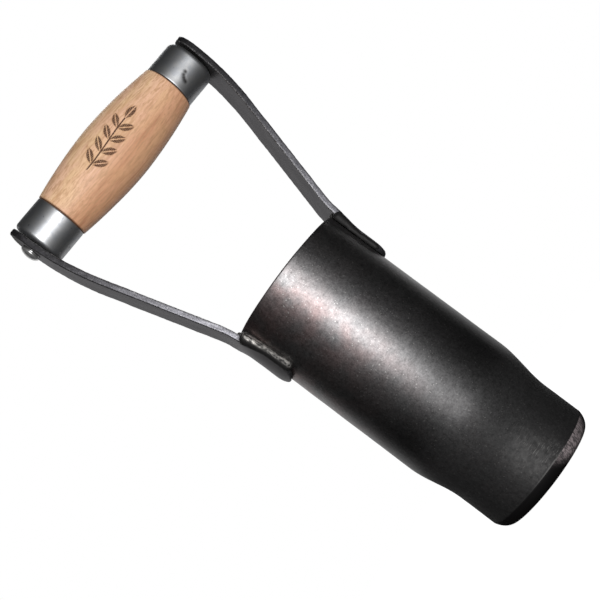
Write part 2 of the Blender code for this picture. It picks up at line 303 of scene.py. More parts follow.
# %% [markdown]
# An effect that several finishes share is a node group, built once and placed in each of them
# with its own values. `group` starts one, `place_group` puts it into a finish, and `new_finish`
# starts a material.

# %% Groups and finishes
def group(name, inputs, outputs):
    """Start a node group. Inputs and outputs map a label to a kind of socket."""
    tree = bpy.data.node_groups.new(name, "ShaderNodeTree")
    for label, kind in inputs.items():
        tree.interface.new_socket(label, in_out="INPUT", socket_type="NodeSocket" + kind)
    for label, kind in outputs.items():
        tree.interface.new_socket(label, in_out="OUTPUT", socket_type="NodeSocket" + kind)
    start = tree.nodes.new("NodeGroupInput").outputs
    end = tree.nodes.new("NodeGroupOutput").inputs
    return tree, start, end


def place_group(tree, shared, inputs):
    """Place a node group in a finish and link or set its inputs."""
    made = tree.nodes.new("ShaderNodeGroup")
    made.node_tree = shared
    return fill(tree, made, inputs).outputs


def new_finish(name):
    """A material with its Principled shader, and the object's own coordinates."""
    material = bpy.data.materials.new(name)
    material.use_nodes = True
    tree = material.node_tree
    return material, tree, tree.nodes["Principled BSDF"], put(tree, "TexCoord").outputs["Object"]


print("helpers for finishes ready")

# %% [markdown]
# ## Steel skin
# All the steel here is satin: a fine grain scatters the light, small bright specks sit in it,
# and the tone drifts slowly over the surface. One group gives all three, and each steel mixes
# them in its own way. Noise on object coordinates was chosen over any image, because it has no
# seams and works at every scale.

# %% Steel skin group
steel_skin, start, end = group(
    "steel_skin",
    {"Vector": "Vector", "Grain size": "Float", "Speck share": "Float"},
    {"Grain": "Float", "Specks": "Float", "Drift": "Float"},
)
frequency = math_of(steel_skin, "DIVIDE", 1.0, start["Grain size"])
grain = put(steel_skin, "TexNoise", {"Vector": start["Vector"], "Scale": frequency, "Detail": 3.0,
                                     "Roughness": 0.6}).outputs["Fac"]
speck_frequency = math_of(steel_skin, "MULTIPLY", frequency, 0.8)
speck_noise = put(steel_skin, "TexNoise", {"Vector": start["Vector"], "Scale": speck_frequency, "Detail": 1.0,
                                           "Roughness": 0.4}).outputs["Fac"]
speck_edge = math_of(steel_skin, "SUBTRACT", 1.0, start["Speck share"])
speck_top = math_of(steel_skin, "ADD", speck_edge, 0.06)
specks = step_between(steel_skin, speck_noise, speck_edge, speck_top)
drift = cloud(steel_skin, start["Vector"], 14.0 * MM, detail=3.0, rough=0.55)
steel_skin.links.new(grain, end["Grain"])
steel_skin.links.new(specks, end["Specks"])
steel_skin.links.new(drift, end["Drift"])
print("steel skin group with", len(steel_skin.nodes), "nodes")

# %% [markdown]
# ## Scratches
# Handling leaves short fine scratches. They are noise stretched a long way in one direction, cut
# off so that only its crests are left. A second, broad noise keeps them in patches.

# %% Scratch group
SCRATCH_LENGTH = 7.0 * MM
SCRATCH_BREADTH = 0.22 * MM
SCRATCH_SCALE = (1.0 / SCRATCH_LENGTH, 1.0 / SCRATCH_BREADTH, 1.0 / SCRATCH_BREADTH)

scratch_marks, start, end = group(
    "scratch_marks",
    {"Vector": "Vector", "Amount": "Float"},
    {"Marks": "Float"},
)
marks = None
for turned_by in (25.0, 68.0, -40.0):
    turned = [math.radians(turned_by * share) for share in (1.0, 0.7, 1.3)]
    lines = stretched(scratch_marks, start["Vector"], SCRATCH_SCALE, detail=0.0, turned=turned)
    crests = step_between(scratch_marks, lines, 0.70, 0.76)
    marks = crests if marks is None else math_of(scratch_marks, "MAXIMUM", marks, crests)
patches = step_between(scratch_marks, cloud(scratch_marks, start["Vector"], 9.0 * MM), 0.45, 0.65)
kept = math_of(scratch_marks, "MULTIPLY", marks, patches)
scratch_marks.links.new(math_of(scratch_marks, "MULTIPLY", kept, start["Amount"]), end["Marks"])
print("scratch group with", len(scratch_marks.nodes), "nodes")

# %% [markdown]
# ## Blackened steel of the tube
# The tube is drawn and oil-blackened: nearly black where it mirrors the dark room, and a pale
# satin band where it mirrors the lamp. That is a metal with a low colour and a rough surface,
# not a black paint. Mottling and fine specks lie all over it, and a faint rose tint drifts over
# one flank near the rim. The colour is a little lighter near the rim and darker towards the mouth,
# which is painted light and shade that makes the lamp's highlight fade down the tube.

# %% Colour of the blackened steel
TUBE_BLACK = (0.168, 0.166, 0.168, 1.0)
TUBE_BROWN = (0.212, 0.160, 0.157, 1.0)
TUBE_SPECK = (0.42, 0.41, 0.40, 1.0)
TINT_SIZE = 11.0 * MM
TINT_LOW = 55.0 * MM
TINT_HIGH = 125.0 * MM
MOTTLE_SIZE = 2.0 * MM
DEEPER_FROM = 112.0 * MM

blackened_steel, tree, shader, place = new_finish("blackened_steel")
skin = place_group(tree, steel_skin, {"Vector": place, "Grain size": 0.70 * MM, "Speck share": 0.31})
sides = put(tree, "SeparateXYZ", {0: place}).outputs
height = sides["Z"]
flank = step_between(tree, sides["X"], 3.0 * MM, -12.0 * MM, 0.12, 1.0)
flank = math_of(tree, "MULTIPLY", flank, step_between(tree, height, TINT_LOW, TINT_HIGH, 0.10, 1.0))
tint = step_between(tree, cloud(tree, place, TINT_SIZE, detail=3.0), 0.24, 0.72)
colour = blend_colours(tree, math_of(tree, "MULTIPLY", tint, flank), TUBE_BLACK, TUBE_BROWN)
mottle = cloud(tree, place, MOTTLE_SIZE, detail=3.0, rough=0.65)
shade = math_of(tree, "MULTIPLY_ADD", mottle, 1.1, -0.20)
colour = shade_by(tree, colour, math_of(tree, "MULTIPLY_ADD", skin["Grain"], 1.3, shade))
colour = blend_colours(tree, math_of(tree, "MULTIPLY", skin["Specks"], 0.75), colour, TUBE_SPECK)
# Painted light and shade: the colour is lifted a little near the rim and darkened towards the mouth, so that
# the lamp's highlight fades down the tube.
painted_fade = math_of(tree, "MULTIPLY", step_between(tree, height, DEEPER_FROM, NECK_TOP, 1.06, 0.46),
                 step_between(tree, height, NECK_TOP, NECK_BOTTOM, 1.0, 0.46))
colour = shade_by(tree, colour, painted_fade)
print("colour of the blackened steel:", len(tree.nodes), "nodes")

# %% [markdown]
# The soil has scuffed one patch just above the cutting edge: scratches, a haze, and a worn line
# along the corner of the bevel. From the neck down the surface is rougher and mirrors less than
# higher up. One distance from the middle of the patch drives all three marks, so they stay
# together when it is moved.

# %% Scuffs and surface of the blackened steel
SCUFF_PLACE = (-3.3 * MM, -31.4 * MM, 13.0 * MM)
SCUFF_REACH = 17.0 * MM
SCUFF_HEART = 3.0 * MM
LIP_WIDTH = 0.8 * MM
DULL_FROM = NECK_TOP + 10.0 * MM

from_scuff = put(tree, "VectorMath", {0: place, 1: SCUFF_PLACE}, operation="DISTANCE").outputs["Value"]
scuffed = step_between(tree, from_scuff, SCUFF_REACH, SCUFF_HEART)
amount = math_of(tree, "MULTIPLY_ADD", scuffed, 0.45, 0.08)
scuffs = place_group(tree, scratch_marks, {"Vector": place, "Amount": amount})["Marks"]
haze = math_of(tree, "MULTIPLY", scuffed, math_of(tree, "MULTIPLY_ADD", mottle, 0.2, -0.05))
worn_lip = step_between(tree, height, GRIND_HEIGHT + LIP_WIDTH, GRIND_HEIGHT)
worn_lip = math_of(tree, "MULTIPLY", worn_lip, scuffed)
haze = math_of(tree, "MULTIPLY_ADD", worn_lip, 0.35, haze)
scuffs = math_of(tree, "ADD", math_of(tree, "MULTIPLY", scuffs, 0.7), haze, clamp=True)
tree.links.new(blend_colours(tree, scuffs, colour, TUBE_SPECK), shader.inputs["Base Color"])
rough = math_of(tree, "MULTIPLY_ADD", skin["Drift"], 0.08, 0.39)
rough = math_of(tree, "MULTIPLY_ADD", skin["Grain"], 0.06, rough)
rough = math_of(tree, "ADD", rough, step_between(tree, height, DEEPER_FROM, NECK_TOP, 0.0, 0.04))
rough = math_of(tree, "ADD", rough, step_between(tree, height, NECK_TOP, NECK_BOTTOM, 0.0, 0.12))
tree.links.new(rough, shader.inputs["Roughness"])
metal = step_between(tree, height, DULL_FROM, NECK_BOTTOM, 1.0, 0.72)
tree.links.new(metal, shader.inputs["Metallic"])
bumps(tree, shader, skin["Grain"], 0.24, 0.05 * MM)
print("blackened steel:", len(tree.nodes), "nodes")

# %% [markdown]
# The cutting edge is ground from outside and darkened again, but on one side it still shows rosy
# steel with the short strokes of the wheel. Fine lines run all round: noise that changes quickly
# with height and slowly round the tube. An anisotropic shader could draw them too, but these are
# coarse enough to be told apart, so they are bumps.

# %% Ground steel of the cutting edge
GROUND_DARK = (0.036, 0.034, 0.035, 1.0)
GROUND_LIGHT = (0.30, 0.255, 0.26, 1.0)
GROUND_SIDE = (0.5, -0.866, 0.0)
LINE_SCALE = (60.0, 60.0, 2600.0)
STROKE_SCALE = (1500.0, 1500.0, 220.0)

ground_steel, tree, shader, place = new_finish("ground_steel")
lines = stretched(tree, place, LINE_SCALE, rough=0.6)
towards = put(tree, "VectorMath", {0: place, 1: GROUND_SIDE}, operation="DOT_PRODUCT").outputs["Value"]
patch = step_between(tree, towards, 0.81 * NECK_RADIUS, 0.95 * NECK_RADIUS)
strokes = step_between(tree, stretched(tree, place, STROKE_SCALE, detail=1.0), 0.36, 0.64, 0.15, 1.0)
light = math_of(tree, "MULTIPLY", strokes, patch)
tree.links.new(blend_colours(tree, light, GROUND_DARK, GROUND_LIGHT), shader.inputs["Base Color"])
tree.links.new(math_of(tree, "MULTIPLY_ADD", lines, 0.15, 0.40), shader.inputs["Roughness"])
tree.links.new(math_of(tree, "MULTIPLY_ADD", patch, -0.75, 0.9), shader.inputs["Metallic"])
bumps(tree, shader, lines, 0.25, 0.04 * MM)
print("ground steel:", len(tree.nodes), "nodes")

# %% [markdown]
# ## Forged steel of the arms
# The flat bars keep their mill scale: dark grey and fairly smooth on the wide faces. The narrow
# edges are coarse. They are bright between the tube and the grip and black on the feet, and they
# grow nearly black towards the grip and the rivet, which is painted shade. Their corners carry a
# thin light line, partly worn steel and partly a painted highlight. Two attributes that are
# written on the mesh, `edge` and `corner`, tell the finish where it is. Wear painted by hand
# would look the same, but the attributes follow the shape when a size changes.

# %% Edges of the forged steel
EDGE_BLACK_AND_SHADE = (0.018, 0.017, 0.018, 1.0)
EDGE_GREY = (0.185, 0.183, 0.200, 1.0)
EDGE_BRIGHT = (0.80, 0.79, 0.79, 1.0)

forged_steel, tree, shader, place = new_finish("forged_steel")
skin = place_group(tree, steel_skin, {"Vector": place, "Grain size": 0.45 * MM, "Speck share": 0.36})
on_edge = put(tree, "Attribute", attribute_name="edge").outputs["Fac"]
on_corner = put(tree, "Attribute", attribute_name="corner").outputs["Fac"]
height = put(tree, "SeparateXYZ", {0: place}).outputs["Z"]
near_grip = step_between(tree, height, RIM + 2.0 * MM, GRIP_AXIS - 8.0 * MM)
on_foot = step_between(tree, height, RIM + 0.5 * MM, RIM - 2.5 * MM)
edge_specks = math_of(tree, "MULTIPLY", skin["Specks"], 0.30)
edge_colour = blend_colours(tree, edge_specks, EDGE_GREY, EDGE_BRIGHT)
foot_black = math_of(tree, "MULTIPLY", on_foot, 0.75)
# Painted shade: the narrow edges turn nearly black towards the grip. On the feet they are black too.
grip_shade_and_foot_black = math_of(tree, "MAXIMUM", math_of(tree, "MULTIPLY", near_grip, 0.9), foot_black)
edge_colour = blend_colours(tree, grip_shade_and_foot_black, edge_colour, EDGE_BLACK_AND_SHADE)
edge_colour = shade_by(tree, edge_colour, math_of(tree, "MULTIPLY_ADD", skin["Grain"], 2.6, -0.3))
# The light corner line is partly wear and partly a painted highlight on the rounded corner.
wear_and_highlight = math_of(tree, "MULTIPLY", on_corner, step_between(tree, skin["Grain"], 0.42, 0.60))
wear_and_highlight = math_of(tree, "MULTIPLY", wear_and_highlight, math_of(tree, "MULTIPLY_ADD", near_grip, -0.6, 0.95))
wear_and_highlight = math_of(tree, "MULTIPLY", wear_and_highlight, math_of(tree, "MULTIPLY_ADD", on_foot, -0.95, 1.0))
print("edges of the forged steel:", len(tree.nodes), "nodes")

# %% [markdown]
# The wide faces drift slowly between two greys. The outer face of the foot is paler and duller,
# which is painted light that lifts its shading. A metal mirrors nearly everything at a grazing
# angle, which mill scale doesn't, so a grey specular tint holds that back. At the top beside the
# grip the tint is darker still, which is painted shade.

# %% Forged steel
SCALE_GREY = (0.062, 0.060, 0.061, 1.0)
SCALE_DARK = (0.047, 0.045, 0.046, 1.0)
FOOT_PAINTED_LIGHT = (0.080, 0.077, 0.078, 1.0)
GRAZING_TINT = (0.60, 0.59, 0.61, 1.0)
TOP_SHADE_TINT = (0.22, 0.21, 0.22, 1.0)

colour = blend_colours(tree, step_between(tree, skin["Drift"], 0.35, 0.65), SCALE_DARK, SCALE_GREY)
colour = blend_colours(tree, on_edge, colour, edge_colour)
colour = blend_colours(tree, wear_and_highlight, colour, EDGE_BRIGHT)
# Painted light: the outer face of the foot is made paler and duller to lift its shading.
low_down = step_between(tree, height, RIM + 12.0 * MM, RIM - 10.0 * MM)
wide_foot = math_of(tree, "MULTIPLY", low_down, math_of(tree, "SUBTRACT", 1.0, on_edge, clamp=True))
tree.links.new(blend_colours(tree, wide_foot, colour, FOOT_PAINTED_LIGHT), shader.inputs["Base Color"])
tree.links.new(math_of(tree, "MULTIPLY_ADD", skin["Grain"], 0.10, 0.42), shader.inputs["Roughness"])
dull = math_of(tree, "MULTIPLY_ADD", wide_foot, 0.20, math_of(tree, "MULTIPLY", wear_and_highlight, 0.65))
tree.links.new(math_of(tree, "SUBTRACT", 0.70, dull), shader.inputs["Metallic"])
# Painted shade: beside the grip the specular tint is darker, so the top of the arm mirrors less.
near_top = step_between(tree, height, GRIP_AXIS - 1.0 * MM, GRIP_AXIS + 7.0 * MM)
tree.links.new(blend_colours(tree, near_top, GRAZING_TINT, TOP_SHADE_TINT), shader.inputs["Specular Tint"])
coarse = math_of(tree, "MULTIPLY_ADD", on_edge, 0.40, 0.08)
bumps(tree, shader, math_of(tree, "MULTIPLY", skin["Grain"], coarse), 0.5, 0.16 * MM)
print("forged steel:", len(tree.nodes), "nodes")

# %% [markdown]
# ## Weld metal
# The beads were blackened with the tube and are nearly as dark, with a few specks of bright
# spatter. Where a bead was dressed with a wire wheel it is brushed bright in streaks that run
# along it. Two attributes on the mesh say where: `crest` from the modelled lumps, and `brushed`
# from the side that the wheel reached. So the light streaks sit on the lumps that stand proud.

# %% Weld metal
WELD_BLACK = (0.026, 0.025, 0.025, 1.0)
WELD_DARK = (0.029, 0.028, 0.028, 1.0)
WELD_BRIGHT = (0.37, 0.355, 0.335, 1.0)
BRUSH_SCALE = (900.0, 2400.0, 260.0)
BRUSH_TURN = (math.radians(16.0), 0.0, 0.0)

weld_metal, tree, shader, place = new_finish("weld_metal")
skin = place_group(tree, steel_skin, {"Vector": place, "Grain size": 0.6 * MM, "Speck share": 0.27})
crest = put(tree, "Attribute", attribute_name="crest").outputs["Fac"]
brushed = put(tree, "Attribute", attribute_name="brushed").outputs["Fac"]
streaks = stretched(tree, place, BRUSH_SCALE, rough=0.55, turned=BRUSH_TURN)
colour = blend_colours(tree, step_between(tree, crest, 0.20, 0.55), WELD_BLACK, WELD_DARK)
colour = blend_colours(tree, math_of(tree, "MULTIPLY", skin["Specks"], 0.45), colour, WELD_BRIGHT)
wheel = math_of(tree, "MULTIPLY", step_between(tree, streaks, 0.34, 0.74), brushed)
wheel = math_of(tree, "MULTIPLY", wheel, step_between(tree, crest, 0.0, 0.35))
tree.links.new(blend_colours(tree, wheel, colour, WELD_BRIGHT), shader.inputs["Base Color"])
tree.links.new(math_of(tree, "MULTIPLY_ADD", wheel, -0.20, 0.66), shader.inputs["Roughness"])
shader.inputs["Metallic"].default_value = 0.75
relief = math_of(tree, "MULTIPLY_ADD", streaks, brushed, math_of(tree, "MULTIPLY", skin["Grain"], 0.5))
bumps(tree, shader, relief, 0.35, 0.10 * MM)
print("weld metal:", len(tree.nodes), "nodes")

# %% [markdown]
# ## Satin steel of the ferrules
# The ferrules are pressed cups of bare steel, polished to a satin by tumbling. They are the
# brightest metal on the tool, with a soft cloudy mottling and a few brown spots. Their dents,
# which the attribute `dent` marks, are coloured dark. A specular tint darkens them at grazing
# angles, where bare metal would mirror the white ground.

# %% Satin steel
CUP_LIGHT = (0.60, 0.605, 0.61, 1.0)
CUP_COOL = (0.50, 0.515, 0.54, 1.0)
CUP_DARK = (0.060, 0.055, 0.055, 1.0)
CUP_TINT = (0.45, 0.45, 0.45, 1.0)

satin_steel, tree, shader, place = new_finish("satin_steel")
skin = place_group(tree, steel_skin, {"Vector": place, "Grain size": 0.5 * MM, "Speck share": 0.30})
clouds = cloud(tree, place, 4.0 * MM, detail=3.0, rough=0.6)
colour = blend_colours(tree, step_between(tree, clouds, 0.35, 0.65), CUP_LIGHT, CUP_COOL)
spots = step_between(tree, cloud(tree, place, 1.8 * MM, detail=1.0), 0.74, 0.80)
colour = blend_colours(tree, math_of(tree, "MULTIPLY", spots, 0.45), colour, CUP_DARK)
dented = put(tree, "Attribute", attribute_name="dent").outputs["Fac"]
tree.links.new(blend_colours(tree, dented, colour, CUP_DARK), shader.inputs["Base Color"])
tree.links.new(math_of(tree, "MULTIPLY_ADD", clouds, 0.08, 0.45), shader.inputs["Roughness"])
shader.inputs["Metallic"].default_value = 1.0
shader.inputs["Specular Tint"].default_value = CUP_TINT
bumps(tree, shader, skin["Grain"], 0.12, 0.04 * MM)
print("satin steel:", len(tree.nodes), "nodes")

# %% [markdown]
# ## Steel of the rivet
# The rivet's rounded heads are plain steel with faint hammering. The rod between them is coloured
# nearly black, which is painted shade for the narrow gap beside each arm where a little of it can
# be seen. The distance from the middle tells head from rod, so one finish serves both.

# %% Rivet steel
RIVET_DARK = (0.50, 0.495, 0.49, 1.0)
RIVET_LIGHT = (0.62, 0.615, 0.61, 1.0)
ROD_GAP_SHADE = (0.020, 0.019, 0.019, 1.0)

rivet_steel, tree, shader, place = new_finish("rivet_steel")
skin = place_group(tree, steel_skin, {"Vector": place, "Grain size": 0.7 * MM, "Speck share": 0.36})
hammered = step_between(tree, cloud(tree, place, 1.6 * MM), 0.35, 0.7)
colour = blend_colours(tree, hammered, RIVET_DARK, RIVET_LIGHT)
from_middle = math_of(tree, "ABSOLUTE", put(tree, "SeparateXYZ", {0: place}).outputs["X"])
rod_end = rivet_high.x - HEAD_HEIGHT
# Painted shade: the rod, seen only in the gaps beside the arms, is coloured nearly black.
covered = step_between(tree, from_middle, rod_end - 0.5 * MM, rod_end - 1.0 * MM)
tree.links.new(blend_colours(tree, covered, colour, ROD_GAP_SHADE), shader.inputs["Base Color"])
tree.links.new(math_of(tree, "MULTIPLY_ADD", skin["Grain"], 0.06, 0.30), shader.inputs["Roughness"])
shader.inputs["Metallic"].default_value = 0.8
bumps(tree, shader, hammered, 0.06, 0.05 * MM)
print("rivet steel:", len(tree.nodes), "nodes")

# %% [markdown]
# ## A sprig burnt into the grip
# A small ornament is burnt into the front of the grip: a plain sprig with paired leaves, which
# any maker could use. It is drawn by formula. Each leaf is the area under a parabola, with gaps
# for its rib and veins. Lengths here are in millimetres on the unrolled surface.

# %% One leaf
RIB_HALF = (0.10, 0.16)
VEIN_GAP = (0.10, 0.22)
VEIN_COUNT = 9.0
VEIN_SLANT = -1.6


def leaf(tree, x, y, tilt, length, breadth):
    """How far inside a pointed leaf a place lies: above 0 is inside. Its base is at 0, 0."""
    cos, sin = math.cos(math.radians(tilt)), math.sin(math.radians(tilt))
    along = math_of(tree, "MULTIPLY_ADD", x, cos / length, math_of(tree, "MULTIPLY", y, sin / length))
    across = math_of(tree, "MULTIPLY_ADD", x, -sin / breadth, math_of(tree, "MULTIPLY", y, cos / breadth))
    rest = math_of(tree, "SUBTRACT", 1.0, along)
    arch = math_of(tree, "MULTIPLY", rest, math_of(tree, "MULTIPLY", along, 4.0))
    wide = math_of(tree, "ABSOLUTE", across)
    inside = math_of(tree, "SUBTRACT", arch, wide)
    rib = step_between(tree, wide, *RIB_HALF)
    vein_place = math_of(tree, "MULTIPLY_ADD", wide, VEIN_SLANT, math_of(tree, "MULTIPLY", along, VEIN_COUNT))
    veins = step_between(tree, math_of(tree, "FRACT", vein_place), *VEIN_GAP)
    return inside, math_of(tree, "MULTIPLY", rib, veins)


print("a leaf has a rib and", round(VEIN_COUNT), "veins on each side of it")

# %% [markdown]
# The pairs come from repeating one leaf along the stem with a fraction, and the absolute value
# of the distance from the stem mirrors it to the other side. A single leaf stands at the tip.
# The group gives two masks: the charred lines, and the scorched wood round the leaves.

# %% Sprig group
LEAF_PITCH = 6.8
LEAF_LENGTH = 8.6
LEAF_BREADTH = 1.9
LEAF_TILT = 47.0
LEAF_PAIRS = 4.0
TIP_BREADTH_SHARE = 1.15
STEM_LOW = -18.0
STEM_HIGH = 11.6
STEM_BREADTH = 0.42
PAIRS_FROM = -14.6

burnt_sprig, start, end = group("burnt_sprig", {"Along": "Float", "Across": "Float"},
                                {"Char": "Float", "Scorch": "Float"})
tree = burnt_sprig
sway = math_of(tree, "SINE", math_of(tree, "MULTIPLY", start["Along"], 0.11))
centred = math_of(tree, "MULTIPLY_ADD", sway, -0.9, start["Across"])
beside = math_of(tree, "ABSOLUTE", centred)
cell = math_of(tree, "DIVIDE", math_of(tree, "SUBTRACT", start["Along"], PAIRS_FROM), LEAF_PITCH)
within = math_of(tree, "MULTIPLY", math_of(tree, "FRACT", cell), LEAF_PITCH)
paired, paired_rib = leaf(tree, within, beside, LEAF_TILT, LEAF_LENGTH, LEAF_BREADTH)
past_first = step_between(tree, cell, -0.02, 0.0)
before_last = step_between(tree, cell, LEAF_PAIRS, LEAF_PAIRS - 0.02)
allowed = math_of(tree, "MULTIPLY", past_first, before_last)
tip_place = math_of(tree, "SUBTRACT", start["Along"], STEM_HIGH)
tip, tip_rib = leaf(tree, tip_place, centred, 0.0, LEAF_LENGTH, LEAF_BREADTH * TIP_BREADTH_SHARE)
stem = step_between(tree, beside, STEM_BREADTH, STEM_BREADTH * 0.6)
stem_foot = step_between(tree, start["Along"], STEM_LOW, STEM_LOW + 0.4)
stem_top = step_between(tree, start["Along"], STEM_HIGH + 1.0, STEM_HIGH)
stem = math_of(tree, "MULTIPLY", math_of(tree, "MULTIPLY", stem, stem_foot), stem_top)
print("sprig shapes with", len(tree.nodes), "nodes")

# %% Masks of the sprig
blades = math_of(tree, "MULTIPLY", step_between(tree, paired, 0.0, 0.22), paired_rib)
blades = math_of(tree, "MULTIPLY", blades, allowed)
tip_blade = math_of(tree, "MULTIPLY", step_between(tree, tip, 0.0, 0.22), tip_rib)
burnt_in = math_of(tree, "MAXIMUM", math_of(tree, "MAXIMUM", blades, tip_blade), stem)
beyond = math_of(tree, "MULTIPLY_ADD", allowed, 9.0, -9.0)
halo = math_of(tree, "MAXIMUM", math_of(tree, "ADD", paired, beyond), tip)
tree.links.new(burnt_in, end["Char"])
tree.links.new(step_between(tree, halo, -0.5, 0.2), end["Scorch"])
print("sprig group with", len(tree.nodes), "nodes")

# %% [markdown]
# ## Ash wood of the grip
# Ash has straight grain: growth rings, pale in the early wood and darker where a ring ends. The
# blank is sawn from a plank, so the rings are part of wide cylinders round a far-off heart, and
# turning the barrel cuts them into long arches. A fraction of the distance to that heart gives
# the rings, and slow noise lets them wander.

# %% Growth rings
RING_PITCH = 1.7 * MM
RING_WANDER = 2.6 * MM
HEART_PLACE = (0.0, 34.0 * MM, -52.0 * MM)
HEART_STRETCH = (0.02, 1.0, 1.0)

ash_wood, tree, shader, place = new_finish("ash_wood")
local = put(tree, "VectorMath", {0: place, 1: GRIP_CENTRE}, operation="SUBTRACT").outputs["Vector"]
axes = put(tree, "SeparateXYZ", {0: local})
wander = stretched(tree, local, (9.0, 40.0, 40.0))
from_heart = put(tree, "VectorMath", {0: local, 1: HEART_PLACE}, operation="SUBTRACT").outputs["Vector"]
flat = put(tree, "VectorMath", {0: from_heart, 1: HEART_STRETCH}, operation="MULTIPLY").outputs["Vector"]
reach = put(tree, "VectorMath", {0: flat}, operation="LENGTH").outputs["Value"]
reach = math_of(tree, "MULTIPLY_ADD", wander, RING_WANDER, reach)
ring = math_of(tree, "FRACT", math_of(tree, "DIVIDE", reach, RING_PITCH))
late = math_of(tree, "MULTIPLY", step_between(tree, ring, 0.25, 0.92), step_between(tree, ring, 1.0, 0.94))
ring_depth = stretched(tree, local, (25.0, 330.0, 330.0), detail=1.0)
late = math_of(tree, "MULTIPLY", late, step_between(tree, ring_depth, 0.30, 0.68, 0.15, 0.75))
print("growth rings:", len(tree.nodes), "nodes")

# %% [markdown]
# Over the rings lie the fibres, all along the grip and so all made from stretched noise: a pink
# blush, long brown streaks that are strongest on the darker low side, short ticks, and fine open
# pores in the early wood.

# %% Fibres and pores
ASH_LIGHT = (0.800, 0.540, 0.318, 1.0)
ASH_PINK = (0.805, 0.505, 0.338, 1.0)
ASH_RING = (0.60, 0.345, 0.180, 1.0)
ASH_HEART = (0.62, 0.300, 0.160, 1.0)
ASH_STREAK = (0.40, 0.170, 0.090, 1.0)
ASH_TICK = (0.50, 0.280, 0.150, 1.0)
ASH_PORE = (0.42, 0.20, 0.10, 1.0)

blush = step_between(tree, stretched(tree, local, (60.0, 170.0, 170.0)), 0.38, 0.62)
colour = blend_colours(tree, blush, ASH_LIGHT, ASH_PINK)
colour = blend_colours(tree, late, colour, ASH_RING)
low_side = step_between(tree, axes.outputs["Z"], 4.0 * MM, -12.0 * MM)
heart_share = math_of(tree, "MULTIPLY", low_side, math_of(tree, "MULTIPLY_ADD", wander, 0.9, 0.25))
colour = blend_colours(tree, heart_share, colour, ASH_HEART)
streak = step_between(tree, stretched(tree, local, (24.0, 640.0, 640.0), detail=3.0, rough=0.6), 0.48, 0.70)
streak = math_of(tree, "MULTIPLY", streak, math_of(tree, "MULTIPLY_ADD", low_side, 0.52, 0.15))
colour = blend_colours(tree, streak, colour, ASH_STREAK)
ticks = stretched(tree, local, (170.0, 1300.0, 1300.0), rough=0.6)
colour = blend_colours(tree, step_between(tree, ticks, 0.45, 0.67, 0.0, 0.74), colour, ASH_TICK)
pores = step_between(tree, stretched(tree, local, (620.0, 3000.0, 3000.0), detail=1.0), 0.56, 0.70)
open_pores = math_of(tree, "MULTIPLY", pores, step_between(tree, ring, 0.60, 0.10, 0.10, 0.62))
colour = blend_colours(tree, open_pores, colour, ASH_PORE)
print("ash grain:", len(tree.nodes), "nodes")

# %% [markdown]
# The sprig is laid on the front by unrolling the barrel: the angle round the grip gives the
# place across, the length gives the place along. The burnt lines are sunk a little. Where the
# wood meets the ferrules it is darkened: dirt from handling, and painted shade at the joint.

# %% The sprig and the surface of the wood
CHAR = (0.058, 0.018, 0.006, 1.0)
SCORCH = (0.50, 0.26, 0.11, 1.0)
END_DIRT_AND_SHADE = (0.16, 0.07, 0.035, 1.0)
SPRIG_ANGLE = 3.0
SPRIG_RADIUS = 16.6 * MM
END_DARK_FROM = HALF_BARREL - 0.9 * MM
END_DARK_FULL = HALF_BARREL - 0.1 * MM

fibres = stretched(tree, local, (60.0, 1500.0, 1500.0), detail=3.0, rough=0.6)
forward = math_of(tree, "MULTIPLY", axes.outputs["Y"], -1.0)
round_angle = math_of(tree, "ARCTAN2", axes.outputs["Z"], forward)
round_angle = math_of(tree, "SUBTRACT", round_angle, math.radians(SPRIG_ANGLE))
across_mm = math_of(tree, "MULTIPLY", round_angle, SPRIG_RADIUS / MM)
along_mm = math_of(tree, "DIVIDE", axes.outputs["X"], MM)
blur = math_of(tree, "MULTIPLY_ADD", cloud(tree, local, 0.5 * MM, detail=2.0), 0.5, -0.25)
sprig = place_group(tree, burnt_sprig, {"Along": math_of(tree, "ADD", along_mm, blur),
                                        "Across": math_of(tree, "ADD", across_mm, blur)})
colour = blend_colours(tree, math_of(tree, "MULTIPLY", sprig["Scorch"], 0.30), colour, SCORCH)
uneven = math_of(tree, "MULTIPLY_ADD", fibres, -0.4, 1.15, clamp=True)
colour = blend_colours(tree, math_of(tree, "MULTIPLY", sprig["Char"], uneven), colour, CHAR)
# Dirt and painted shade: the wood darkens where it meets the ferrules.
end_distance = math_of(tree, "ABSOLUTE", axes.outputs["X"])
end_dirt_and_shade = step_between(tree, end_distance, END_DARK_FROM, END_DARK_FULL, 0.0, 0.85)
tree.links.new(blend_colours(tree, end_dirt_and_shade, colour, END_DIRT_AND_SHADE), shader.inputs["Base Color"])
rough = math_of(tree, "MULTIPLY_ADD", fibres, 0.15, 0.48)
tree.links.new(math_of(tree, "MULTIPLY_ADD", sprig["Char"], 0.25, rough), shader.inputs["Roughness"])
relief = math_of(tree, "MULTIPLY_ADD", open_pores, -0.6, math_of(tree, "MULTIPLY", fibres, 0.35))
bumps(tree, shader, math_of(tree, "MULTIPLY_ADD", sprig["Char"], -1.2, relief), 0.5, 0.10 * MM)
print("ash wood:", len(tree.nodes), "nodes")

# %% [markdown]
# ## The coring tube
# A steel tube, drawn in towards the mouth, with the cutting edge ground on the outside so that
# the soil core slides in. It could be two cylinders and a boolean, but one profile spun round
# the axis gives the neck, the bevel and the wall in a single clean skin. The rim's edges and the
# bevel are rounded a little, and faint unevenness keeps the long highlight from looking drawn
# with a ruler. It fades out towards the cutting edge, which is ground true.

# %% Turn the coring tube
RIM_ROUND = 0.7 * MM
NECK_STEPS = 20
BEVEL_STEPS = 12
ROUND_SHARE = 0.55
BEVEL_MARGIN = 0.3 * MM
WALL_ROOM = 0.05 * MM
TRUE_HEIGHT = 1.0 * MM
TRUE_FADE = 8.0 * MM


